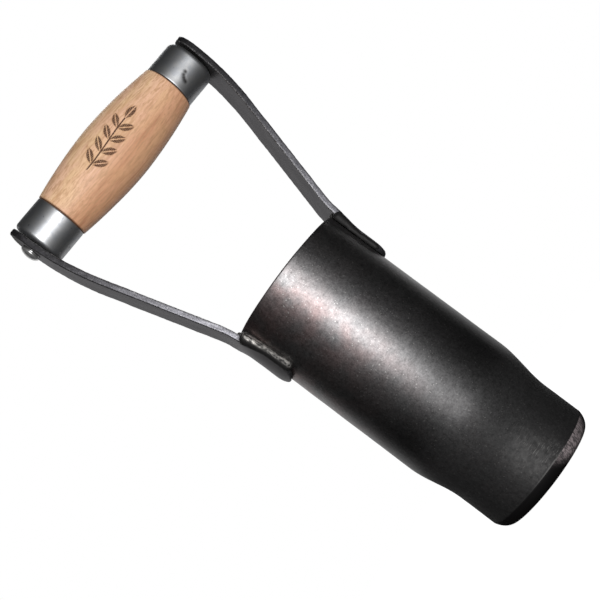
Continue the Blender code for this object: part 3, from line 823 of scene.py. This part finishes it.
def neck(top_radius, bottom_radius):
    """The drawn-in stretch of the tube, from its top to its bottom."""
    points = []
    for i in range(NECK_STEPS + 1):
        share = i / NECK_STEPS
        height = NECK_TOP + (NECK_BOTTOM - NECK_TOP) * share
        points.append((top_radius + (bottom_radius - top_radius) * ease(share), height))
    return points


def above_edge(place):
    """How uneven the wall may be at a place: not at all where the edge is ground true."""
    return ease((place.z - TRUE_HEIGHT) / TRUE_FADE)


skin_radius = TUBE_RADIUS - WALL_ROOM
tube_bore = TUBE_RADIUS - TUBE_WALL
neck_bore = NECK_RADIUS - NECK_WALL
grind_depth = NECK_RADIUS - neck_bore - EDGE_LAND
outside = arc(skin_radius - RIM_ROUND, RIM - RIM_ROUND, RIM_ROUND, 90.0, 0.0, 5)
outside += neck(skin_radius, NECK_RADIUS)
for i in range(BEVEL_STEPS + 1):
    share = i / BEVEL_STEPS
    angle = math.pi / 2 * share
    across = (1.0 - share) * (1.0 - ROUND_SHARE) + math.cos(angle) * ROUND_SHARE
    up = (1.0 - share) * (1.0 - ROUND_SHARE) + (1.0 - math.sin(angle)) * ROUND_SHARE
    outside.append((neck_bore + EDGE_LAND + grind_depth * across, GRIND_HEIGHT * up))
outside.append((neck_bore, 0.0))
inside = list(reversed(neck(tube_bore, neck_bore)))
inside += arc(tube_bore + RIM_ROUND, RIM - RIM_ROUND, RIM_ROUND, 180.0, 90.0, 5)
shape = bmesh.new()
chain(shape, outside + inside, 1.6 * MM)
turn(shape, steps=160)
roughen(shape, 0.07 * MM, 11.0 * MM, seed=3, share=above_edge)
roughen(shape, 0.02 * MM, 3.0 * MM, seed=4, share=above_edge)
for face in shape.faces:
    centre = face.calc_center_median()
    on_bevel = centre.z < GRIND_HEIGHT * 0.97 and math.hypot(centre.x, centre.y) > neck_bore + BEVEL_MARGIN
    face.material_index = 1 if on_bevel else 0
finish_piece("coring_tube", shape, [blackened_steel, ground_steel], "frame", "planter_tube",
             sharp_angle=32.0)

# %% [markdown]
# ## The arms
# Each arm is a length of flat bar with rounded ends, bent twice, its foot hammered to the
# curve of the tube. The model follows the workshop: a flat blank is a grid with its ends rounded,
# it is extruded to the bar's thickness and its edges are bevelled, and only then is it bent, by
# moving every point from its place along the straight bar to its place along the bent one.

# %% The bent line of an arm
def bar_line(top):
    """Where the inner face of an arm lies, at a length from the foot: (x, z, lean)."""
    low = RIM + LOW_BEND_RISE
    high = GRIP_AXIS - HIGH_BEND_DROP
    lean = math.atan2(ARM_INNER - SEAT_RADIUS, high - low)
    slope = math.hypot(ARM_INNER - SEAT_RADIUS, high - low)
    low_tangent = LOW_BEND_RADIUS * math.tan(lean / 2)
    high_tangent = HIGH_BEND_RADIUS * math.tan(lean / 2)
    runs = [low - FOOT_END - low_tangent, LOW_BEND_RADIUS * lean, slope - low_tangent - high_tangent,
            HIGH_BEND_RADIUS * lean, top - high - high_tangent]
    bends = [0.0, LOW_BEND_RADIUS, 0.0, -HIGH_BEND_RADIUS, 0.0]

    def at(length):
        x, z, angle = SEAT_RADIUS, FOOT_END, 0.0
        for i, (run, bend) in enumerate(zip(runs, bends)):
            step = length if i == len(runs) - 1 else min(length, run)
            if bend:
                swing = step / bend
                x += bend * (math.cos(angle) - math.cos(angle + swing))
                z += bend * (math.sin(angle + swing) - math.sin(angle))
                angle += swing
            else:
                x += step * math.sin(angle)
                z += step * math.cos(angle)
            length -= step
            if length <= 0.0:
                break
        return x, z, angle

    return at, sum(runs)


def curl_at(length):
    """How tightly an arm is rolled round the tube, as one over a radius. It is flat above the rim."""
    return (1.0 - ease((length - SADDLE_START) / SADDLE_RUN)) / SEAT_RADIUS


at, left_total = bar_line(left_high.z)
print("left arm: bar", round(left_total / MM, 1), "mm long before bending")

# %% The flat blank
BAR_ROUND = 0.6 * MM
ROW_LENGTH = 1.1 * MM
ROW_CROWDING = 0.07
BLANK_COLUMNS = 24


def half_width(length, total):
    """Half the width of the blank, less where its corners are rounded."""
    half = ARM_WIDTH / 2
    for corner, distance in ((FOOT_CORNER, length), (TOP_CORNER, total - length)):
        short = min(max(corner - distance, 0.0), corner)
        half -= corner - math.sqrt(corner ** 2 - short ** 2)
    return half


def flat_blank(total):
    """The straight bar: length along Z, width along Y, thickness from X = 0 outwards. Its rows
    of points lie closer together near the ends, where the corners are."""
    rows = round(total / ROW_LENGTH)
    shape = bmesh.new()
    bmesh.ops.create_grid(shape, x_segments=BLANK_COLUMNS, y_segments=rows, size=0.5)
    for vert in shape.verts:
        share = vert.co.y + 0.5
        length = total * (share - ROW_CROWDING * math.sin(math.tau * share) / math.tau)
        vert.co = (0.0, vert.co.x * 2.0 * half_width(length, total), length)
    lifted = bmesh.ops.extrude_face_region(shape, geom=shape.faces[:])["geom"]
    moved = [item for item in lifted if isinstance(item, bmesh.types.BMVert)]
    bmesh.ops.translate(shape, verts=moved, vec=(ARM_THICKNESS, 0.0, 0.0))
    bmesh.ops.recalc_face_normals(shape, faces=shape.faces)
    rims = [edge for edge in shape.edges if edge.calc_face_angle(0.0) > math.radians(60.0)]
    bmesh.ops.bevel(shape, geom=rims, offset=BAR_ROUND, affect="EDGES", segments=4, profile=0.5, material=-1)
    sides = [edge for edge in shape.edges if edge.calc_length() > ARM_THICKNESS * 0.4
             and abs(edge.verts[0].co.x - edge.verts[1].co.x) > ARM_THICKNESS * 0.4]
    bmesh.ops.subdivide_edges(shape, edges=sides, cuts=3, use_grid_fill=True)
    return shape


trial = flat_blank(left_total)
print("blank with", len(trial.faces), "faces, volume", round(trial.calc_volume() / MM ** 3), "cubic mm")
trial.free()

# %% [markdown]
# The blank is marked before it is bent, because on the straight bar it is easy to say what is an
# edge and what is a corner. Then it is bent. Near the foot the width is rolled round the tube,
# further up it runs flat, and the end of the foot is dressed down on its outer side.

# %% Mark, hammer and bend
FOOT_DRESSING = 6.5 * MM
DRESSED_SHARE = 0.28
EDGE_DEPTH = 0.12 * MM
EDGE_REACH = 0.9 * MM
FACE_SHARE = 0.22
DRILL_LENGTH = 30.0 * MM


def mark_bar(shape, total):
    """Write the edge and corner attributes, and hammer the narrow edges."""
    edge_mark = shape.verts.layers.float.new("edge")
    corner_mark = shape.verts.layers.float.new("corner")
    shape.normal_update()
    for vert in shape.verts:
        side = math.hypot(vert.normal.y, vert.normal.z)
        vert[edge_mark] = ease((side - 0.55) / 0.4)
        inner = 1.0 if vert.co.x < ARM_THICKNESS / 2 else 0.15
        vert[corner_mark] = inner * (1.0 - ease((abs(side - 0.66) - 0.12) / 0.24))

    def edge_share(place):
        at_side = abs(place.y) > half_width(place.z, total) - EDGE_REACH
        return 1.0 if at_side else FACE_SHARE

    roughen(shape, EDGE_DEPTH, 1.5 * MM, seed=11, share=edge_share)
    roughen(shape, 0.10 * MM, 9.0 * MM, seed=12)


def bend_bar(shape, side, at):
    """Move every point from the straight bar to the bent one, on the left or the right."""
    for vert in shape.verts:
        thick, flat, length = vert.co
        x, z, angle = at(max(length, 0.0))
        z += min(length, 0.0)
        dressed = min(max(length, 0.0) / FOOT_DRESSING, 1.0)
        thick *= DRESSED_SHARE + (1.0 - DRESSED_SHARE) * math.sqrt(1.0 - (1.0 - dressed) ** 2)
        curl = curl_at(length)
        roll = flat * curl
        sag = (1.0 - math.cos(roll)) / curl if curl else 0.0
        width = math.sin(roll) / curl if curl else flat
        outward = thick * math.cos(roll) - sag
        x += outward * math.cos(angle)
        z -= outward * math.sin(angle)
        width += thick * math.sin(roll)
        vert.co = (side * x, -side * width, z)


def drill(piece, side):
    """Cut the rod's hole through an arm with a plain cylinder, and keep the result as the mesh."""
    bit = bmesh.new()
    bmesh.ops.create_cone(bit, cap_ends=True, segments=48, radius1=ROD_HOLE, radius2=ROD_HOLE,
                          depth=DRILL_LENGTH)
    bmesh.ops.rotate(bit, verts=bit.verts, cent=(0.0, 0.0, 0.0), matrix=Matrix.Rotation(math.pi / 2, 3, "Y"))
    bmesh.ops.translate(bit, verts=bit.verts, vec=(side * ARM_INNER, 0.0, GRIP_AXIS))
    mesh = bpy.data.meshes.new("drill")
    bit.to_mesh(mesh)
    bit.free()
    cutter = bpy.data.objects.new("drill", mesh)
    bpy.context.scene.collection.objects.link(cutter)
    boolean = piece.modifiers.new("rod hole", "BOOLEAN")
    boolean.operation = "DIFFERENCE"
    boolean.solver = "EXACT"
    boolean.object = cutter
    bpy.context.view_layer.update()
    drilled = bpy.data.meshes.new_from_object(piece.evaluated_get(bpy.context.evaluated_depsgraph_get()))
    piece.modifiers.remove(boolean)
    piece.data = drilled
    drilled.name = piece.name
    bpy.data.objects.remove(cutter, do_unlink=True)


print("ready to bend")

# %% Make both arms
for name, side, top in (("left_arm", -1, left_high.z), ("right_arm", 1, right_high.z)):
    at, total = bar_line(top)
    shape = flat_blank(total)
    mark_bar(shape, total)
    bend_bar(shape, side, at)
    bmesh.ops.recalc_face_normals(shape, faces=shape.faces)
    arm = finish_piece(name + "_bar", shape, [forged_steel], "frame", name, 50.0)
    drill(arm, side)

# %% [markdown]
# ## The weld beads
# A bead runs down both long edges of each foot and one crosses the rim at each arm. A ring is
# extruded step by step along the joint, larger and smaller with every ripple, and noise makes
# the lumps. Its inner side is flattened, because that part is buried in the steel.

# %% Ring by ring along a line
RING_POINTS = 28
BEAD_STEP = 0.40 * MM
RIPPLE = 2.6 * MM
RIPPLE_SHARE = 0.015
BLUNT_SHARE = 0.12
LAG_SHARE = 0.12
BURIED_SHARE = 0.35
LARGE_LUMP = 2.6 * MM
SMALL_LUMP = 1.1 * MM


def bead(name, line, outward, radii, node, seed, lumps, wheel=None):
    """A lumpy bead along a list of points, with a radius for each. outward(point) says which way
    its crest faces, and wheel(normal) how well a wire wheel reached a place."""
    shape = bmesh.new()
    crest_mark = shape.verts.layers.float.new("crest")
    brushed_mark = shape.verts.layers.float.new("brushed")
    ring = bmesh.ops.create_circle(shape, cap_ends=False, segments=RING_POINTS, radius=1.0)["verts"]
    ring_edges = shape.edges[:]
    circle = [vert.co.copy() for vert in ring]
    total = len(line) - 1
    for i, (point, radius) in enumerate(zip(line, radii)):
        if i:
            made = bmesh.ops.extrude_edge_only(shape, edges=ring_edges)["geom"]
            ring = [item for item in made if isinstance(item, bmesh.types.BMVert)]
            ring_edges = [item for item in made if isinstance(item, bmesh.types.BMEdge)
                          and item.verts[0] in ring and item.verts[1] in ring]
        along = (line[min(i + 1, total)] - line[max(i - 1, 0)]).normalized()
        crest = outward(point)
        across = along.cross(crest).normalized()
        ends = min(i, total - i) * BEAD_STEP / radius
        full = math.sqrt(1.0 - (1.0 - min(ends, 1.0)) ** 2)
        ripple = 1.0 + RIPPLE_SHARE * math.sin(math.tau * i * BEAD_STEP / RIPPLE + seed)
        size = radius * max(full, BLUNT_SHARE) * ripple
        for vert, unit in zip(ring, circle):
            rise = unit.y if unit.y > 0.0 else unit.y * BURIED_SHARE
            vert.co = point + across * unit.x * size + crest * rise * size
            vert.co -= along * (1.0 - rise) * size * LAG_SHARE
    bmesh.ops.holes_fill(shape, edges=shape.edges, sides=0)
    bmesh.ops.recalc_face_normals(shape, faces=shape.faces)
    shape.normal_update()
    offset = Vector((seed, seed * 2.3, seed * 0.7))
    for vert in shape.verts:
        lump = noise.noise(vert.co / LARGE_LUMP + offset) + 0.35 * noise.noise(vert.co / SMALL_LUMP + offset)
        vert[crest_mark] = min(max(0.45 + 0.6 * lump, 0.0), 1.0)
        vert[brushed_mark] = wheel(vert.normal) if wheel else 0.0
        vert.co += vert.normal * lump * lumps
    return finish_piece(name, shape, [weld_metal], "frame", node, 75.0)


def spaced(point_at, start_at, end_at, length):
    """Evenly spaced points of a line of the given length."""
    count = max(4, round(length / BEAD_STEP))
    return [point_at(start_at + (end_at - start_at) * i / count) for i in range(count + 1)]


print("bead step", round(BEAD_STEP / MM, 2), "mm")

# %% [markdown]
# The front bead of the left foot was dressed with the wheel: it is flatter, smoother and flares
# out towards the end of the foot. The other three beside the feet are raw and lumpy, and the two
# on the rim are small.

# %% The seams
SEAM_TOP = RIM - 0.6 * MM
SEAM_SPREAD = 0.6 * MM
DRESSED_LOW = FOOT_END + 2.0 * MM
DRESSED_OVERLAP = 0.18 * MM
DRESSED_SINK = 0.60
DRESSED_FLARE = 2.4 * MM
DRESSED_LUMPS = 0.05 * MM
RAW_LOW = FOOT_END + 4.0 * MM
RAW_OVERLAP = -0.30 * MM
RAW_SINK = 0.35
RAW_LUMPS = 0.22 * MM


def edge_seam(side, way, height, spread, sink):
    """The middle and the radius of a bead from a foot's long edge down to the tube, which it
    meets at a distance of spread. A larger sink gives a flatter bead."""
    curl = curl_at(height - FOOT_END)
    roll = ARM_WIDTH / 2 * curl
    sag = (1.0 - math.cos(roll)) / curl if curl else 0.0
    width = math.sin(roll) / curl if curl else ARM_WIDTH / 2
    outer = Vector((SEAT_RADIUS - sag + ARM_THICKNESS * math.cos(roll),
                    width + ARM_THICKNESS * math.sin(roll), 0.0))
    beside = width + spread
    inner = Vector((math.sqrt(TUBE_RADIUS ** 2 - beside ** 2), beside, 0.0))
    chord = inner - outer
    half = chord.length / 2
    middle = (outer + inner) / 2 - Vector((chord.y, -chord.x, 0.0)).normalized() * sink * half
    return Vector((side * middle.x, way * middle.y, height)), half * math.hypot(1.0, sink)


def dressed(normal):
    """The wheel came from the front, and reached the side of the bead that faces the tube."""
    return ease((-normal.y - 0.45) / 0.4) * ease((normal.x + 0.50) / 0.4) * ease((0.80 - normal.x) / 0.3)


def lay_edge_bead(arm, side, edge_name, way):
    """Lay a bead beside a foot. Side is -1 at the left arm, way is -1 at the front."""
    is_dressed = side == -1 and way == -1
    low = DRESSED_LOW if is_dressed else RAW_LOW
    sink = DRESSED_SINK if is_dressed else RAW_SINK
    flare = DRESSED_FLARE if is_dressed else 0.0
    overlap = DRESSED_OVERLAP if is_dressed else RAW_OVERLAP
    lumps = DRESSED_LUMPS if is_dressed else RAW_LUMPS
    facing = Vector((side * 0.62, way * 0.78, 0.0))

    def seam_at(height):
        spread = SEAM_SPREAD + flare * (SEAM_TOP - height) / (SEAM_TOP - low)
        return edge_seam(side, way, height, spread, sink)

    seam = spaced(seam_at, SEAM_TOP, low, SEAM_TOP - low)
    bead(arm + "_" + edge_name + "_bead", [point for point, radius in seam], lambda point: facing,
         [radius + overlap for point, radius in seam], arm + "_" + edge_name + "_weld",
         7.0 + 3.0 * side + way, lumps, dressed if is_dressed else None)


print("seams from", round(DRESSED_LOW / MM, 1), "mm up to", round(SEAM_TOP / MM, 1), "mm")

# %% Lay the beads
RIM_BEAD = 1.1 * MM
RIM_LUMPS = 0.07 * MM
RIM_BRUSHED_SHARE = 0.30
RIM_SPAN_SHARE = 0.72
FOOT_ANGLE = ARM_WIDTH / 2 / SEAT_RADIUS


def lay_rim_bead(arm, side):
    """Lay a bead on the rim, along the inner face of an arm."""
    def rim_at(angle):
        x = side * (TUBE_RADIUS * math.cos(angle) + SEAT_RADIUS) / 2
        return Vector((x, TUBE_RADIUS * math.sin(angle), RIM))

    def facing(point):
        return Vector((-point.x, 0.0, TUBE_RADIUS)).normalized()

    span = FOOT_ANGLE * RIM_SPAN_SHARE
    line = spaced(rim_at, -span, span, 2.0 * span * TUBE_RADIUS)
    bead(arm + "_rim_bead", line, facing, [RIM_BEAD] * len(line), arm + "_rim_weld", 20.0 + side, RIM_LUMPS,
         lambda normal: RIM_BRUSHED_SHARE)


for arm, side in (("left", -1), ("right", 1)):
    lay_edge_bead(arm, side, "front", -1)
    lay_edge_bead(arm, side, "rear", 1)
    lay_rim_bead(arm, side)

# %% [markdown]
# ## The ferrules
# Two pressed steel cups keep the wood from splitting. They are turned like the tube. The lip at
# the wood is rounded and catches a thin line of light, the right one has a crescent dent, and
# the left one a punch mark. A dent is pressed by moving points inwards near a short arc.

# %% Press the ferrules
def press(shape, marks, depth, breadth):
    """Push points in near a line of marks and write how deep each one went."""
    dent_mark = shape.verts.layers.float.new("dent")
    for vert in shape.verts:
        near = min((vert.co - mark).length for mark in marks)
        amount = 1.0 - ease(near / breadth)
        if amount > 0.0:
            inward = Vector((0.0, vert.co.y, vert.co.z - GRIP_AXIS)).normalized()
            vert.co -= inward * depth * amount
        vert[dent_mark] = amount


def on_cup(x, degrees):
    """A place on a ferrule's skin. The angle is above the front."""
    angle = math.radians(degrees)
    return Vector((x, -CUP_RADIUS * math.cos(angle), GRIP_AXIS + CUP_RADIUS * math.sin(angle)))


LIP_ROUND = 0.45 * MM
HOLE_ROUND = 0.3 * MM
DENT_DEPTH = 0.10 * MM
CRESCENT_BREADTH = 1.55 * MM
PUNCH_BREADTH = 0.8 * MM
CRESCENT = [on_cup(48.0 * MM, -21.5), on_cup(46.3 * MM, -23.0), on_cup(45.3 * MM, -27.0),
            on_cup(44.7 * MM, -31.0), on_cup(44.4 * MM, -35.0)]
PUNCH = [on_cup(-49.0 * MM, -82.0)]

cup_inside = CUP_RADIUS - CUP_WALL
profile = arc(ROD_HOLE + HOLE_ROUND, CUP_END - HOLE_ROUND, HOLE_ROUND, 180.0, 90.0, 3)
profile += arc(CUP_RADIUS - CUP_CORNER, CUP_END - CUP_CORNER, CUP_CORNER, 90.0, 0.0, 8)
profile += arc(CUP_RADIUS - LIP_ROUND, CUP_MOUTH + LIP_ROUND, LIP_ROUND, 0.0, -90.0, 5)
profile += [(cup_inside, CUP_MOUTH), (cup_inside, CUP_END - CUP_WALL), (ROD_HOLE, CUP_END - CUP_WALL)]
for name, side, marks, breadth in (("right_ferrule", 1, CRESCENT, CRESCENT_BREADTH),
                                   ("left_ferrule", -1, PUNCH, PUNCH_BREADTH)):
    shape = bmesh.new()
    chain(shape, profile, 0.5 * MM)
    turn(shape)
    lay_on_grip(shape, side)
    roughen(shape, 0.05 * MM, 5.0 * MM, seed=30 + side)
    press(shape, marks, DENT_DEPTH, breadth)
    finish_piece(name + "_cup", shape, [satin_steel], "grip", name, 40.0)

# %% [markdown]
# ## The grip
# A barrel turned from one blank, with a tenon at each end inside its ferrule and a bore for the
# rod. It could be a cylinder in a lattice, but a profile needs only one formula: the swell is a
# power curve, close to a parabola. The shoulders have broken edges, and a trace of lathe
# unevenness stays on the skin.

# %% Turn the grip
SHOULDER_ROUND = 0.6 * MM
BARREL_STEPS = 60
ROUGH_ROOM = 0.04 * MM

tenon_radius = cup_inside - CLEARANCE
tenon_end = wood_high.x
barrel = []
for i in range(BARREL_STEPS + 1):
    share = 1.0 - 2.0 * i / BARREL_STEPS
    swell = (BARREL_RADIUS - ROUGH_ROOM - BARREL_END_RADIUS) * (1.0 - abs(share) ** BARREL_POWER_SHARE)
    radius = BARREL_END_RADIUS + swell
    barrel.append((radius, (HALF_BARREL - SHOULDER_ROUND) * share))
upper_round = arc(BARREL_END_RADIUS - SHOULDER_ROUND, HALF_BARREL - SHOULDER_ROUND, SHOULDER_ROUND,
                  90.0, 15.0, 4)
lower_round = [(radius, -height) for radius, height in reversed(upper_round)]
profile = [(ROD_HOLE, tenon_end), (tenon_radius, tenon_end), (tenon_radius, HALF_BARREL)]
profile += upper_round + barrel + lower_round
profile += [(tenon_radius, -HALF_BARREL), (tenon_radius, -tenon_end), (ROD_HOLE, -tenon_end)]
shape = bmesh.new()
chain(shape, profile, 2.0 * MM)
turn(shape)
lay_on_grip(shape)
roughen(shape, 0.06 * MM, 12.0 * MM, seed=41)
finish_piece("ash_grip", shape, [ash_wood], "grip", "wood_grip", 35.0)

# %% [markdown]
# ## The rivet
# A steel rod goes through everything. Its ends are hammered to round button heads, each on a
# short straight foot, and only they show. Faint hammer dents are made by coarse noise.

# %% Turn and hammer the rivet
BUTTON_STEPS = 16
BUTTON_FOOT = 0.4 * MM
BUTTON_TAPER = 0.3 * MM
BUTTON_RADIUS = 0.94 * HEAD_RADIUS
head_top = rivet_high.x - ROUGH_ROOM
head_seat = rivet_high.x - HEAD_HEIGHT
button_base = head_seat + BUTTON_FOOT
head = [(0.0, head_top)]
for i in range(1, BUTTON_STEPS + 1):
    angle = math.pi / 2 * i / BUTTON_STEPS
    head.append((BUTTON_RADIUS * math.sin(angle), button_base + (head_top - button_base) * math.cos(angle)))
head.append((BUTTON_RADIUS - BUTTON_TAPER, head_seat))
profile = head + [(ROD_RADIUS, head_seat)]
profile += [(radius, -height) for radius, height in reversed(profile)]
shape = bmesh.new()
chain(shape, profile, 1.2 * MM, closed=False)
turn(shape, steps=72)
lay_on_grip(shape)
roughen(shape, 0.08 * MM, 2.2 * MM, seed=52, share=lambda place: 1.0 if abs(place.x) > head_seat else 0.0)
finish_piece("rod_and_heads", shape, [rivet_steel], "frame", "grip_rivet", 45.0)

# %% [markdown]
# ## Floor, backdrop and light
# The photograph is cut out on white, with the light beside the lens in a dark room. A pale floor
# carries a faint shadow and the world is white for the camera, and for mirrored and refracted
# rays too. Other light from it is weak, so the lamps shape the tool.

# %% The world and the floor
FILL_LEVEL = 0.24
FLOOR_RADIUS = 320.0 * MM
FLOOR_DROP = 0.2 * MM
FLOOR_GLOW = 0.93


def seen_directly(tree):
    """1 for what the camera sees, also in a mirror or through glass, and 0 for other light."""
    rays = put(tree, "LightPath").outputs
    seen = math_of(tree, "MAXIMUM", rays["Is Camera Ray"], rays["Is Glossy Ray"])
    return math_of(tree, "MAXIMUM", seen, rays["Is Transmission Ray"])


world = bpy.data.worlds.new("studio")
bpy.context.scene.world = world
world.use_nodes = True
tree = world.node_tree
background = tree.nodes["Background"]
background.inputs["Color"].default_value = (1.0, 1.0, 1.0, 1.0)
strength = step_between(tree, seen_directly(tree), 0.0, 1.0, FILL_LEVEL, 1.0)
tree.links.new(strength, background.inputs["Strength"])

pale_floor, tree, shader, place = new_finish("pale_floor")
shader.inputs["Base Color"].default_value = (0.30, 0.30, 0.30, 1.0)
shader.inputs["Roughness"].default_value = 0.9
shader.inputs["Specular IOR Level"].default_value = 0.1
shader.inputs["Emission Color"].default_value = (1.0, 1.0, 1.0, 1.0)
glow = math_of(tree, "MULTIPLY", seen_directly(tree), FLOOR_GLOW)
tree.links.new(glow, shader.inputs["Emission Strength"])


def stage_piece(name, shape, material):
    """Make an object that belongs to the photographer's stage and not to the tool."""
    mesh = bpy.data.meshes.new(name)
    shape.to_mesh(mesh)
    shape.free()
    mesh.materials.append(material)
    piece = bpy.data.objects.new(name, mesh)
    bpy.context.scene.collection.objects.link(piece)
    return piece


def disc(depth):
    """A disc as wide as the floor, at a depth under the ground that the tool stands on."""
    shape = bmesh.new()
    bmesh.ops.create_circle(shape, cap_ends=True, segments=96, radius=FLOOR_RADIUS)
    bmesh.ops.translate(shape, verts=shape.verts, vec=(0.0, 0.0, -depth))
    return shape


stage_piece("floor", disc(FLOOR_DROP), pale_floor)
print("floor", round(2 * FLOOR_RADIUS / MM), "mm across")

# %% [markdown]
# Blackened steel would mirror the white world on all sides, so dark cloth hangs round the tool,
# as a photographer does for metal. It is a sphere without the faces behind the tool, and the
# opening is turned a few degrees off the line of sight. A dark mat keeps the white floor out of
# the mirrors. Both are hidden from the lens and cast no shadow.

# %% The dark cloth
CLOTH_RADIUS = 1500.0 * MM
OPENING_ANGLE = 49.0
OPENING_TURN = 4.0
OPENING_HEIGHT = 0.75 * CLOTH_RADIUS

dark_cloth, tree, shader, place = new_finish("dark_cloth")
shader.inputs["Base Color"].default_value = (0.03, 0.03, 0.03, 1.0)
shader.inputs["Roughness"].default_value = 1.0
shader.inputs["Specular IOR Level"].default_value = 0.0
shape = bmesh.new()
bmesh.ops.create_uvsphere(shape, u_segments=72, v_segments=36, radius=CLOTH_RADIUS)
behind = Matrix.Rotation(math.radians(OPENING_TURN), 2) @ -CAMERA_PLACE.to_2d().normalized()
open_faces = []
for face in shape.faces:
    centre = face.calc_center_median()
    turned = abs(math.degrees(centre.to_2d().angle_signed(behind)))
    if turned < OPENING_ANGLE and centre.z < OPENING_HEIGHT:
        open_faces.append(face)
bmesh.ops.delete(shape, geom=open_faces, context="FACES")
tent = stage_piece("dark_tent", shape, dark_cloth)
mat = stage_piece("dark_mat", disc(FLOOR_DROP / 2), dark_cloth)
for cloth in (tent, mat):
    cloth.visible_camera = False
    cloth.visible_diffuse = False
    cloth.visible_shadow = False
print("tent with", len(tent.data.polygons), "faces")

# %% [markdown]
# One soft lamp stands beside the camera and draws the long highlight down the tube. A weaker one
# behind serves the other side. Each has a level at the tool, from which its power follows, so a
# lamp can be moved without changing how light the picture is.

# %% The lamps
KEY_LEVEL = 2.9
BACK_LEVEL = 1.0
TARGET = Vector((0.0, 0.0, 130.0)) * MM


def soft_lamp(name, place, size, level):
    """A square lamp that gives the level, in watts per square metre, at the target."""
    light = bpy.data.lights.new(name, "AREA")
    light.shape = "SQUARE"
    light.size = size
    distance = (place - TARGET).length
    light.energy = level * math.pi * distance ** 2
    lamp = bpy.data.objects.new(name, light)
    lamp.location = place
    lamp.rotation_euler = (TARGET - place).to_track_quat("-Z", "Y").to_euler()
    bpy.context.scene.collection.objects.link(lamp)
    lamp.visible_camera = False
    print(name, round(light.energy, 2), "W at", round(distance / MM), "mm")


soft_lamp("key_lamp", Vector((-88.0, -600.0, 150.0)) * MM, 210.0 * MM, KEY_LEVEL)
soft_lamp("back_lamp", Vector((330.0, 620.0, 620.0)) * MM, 420.0 * MM, BACK_LEVEL)
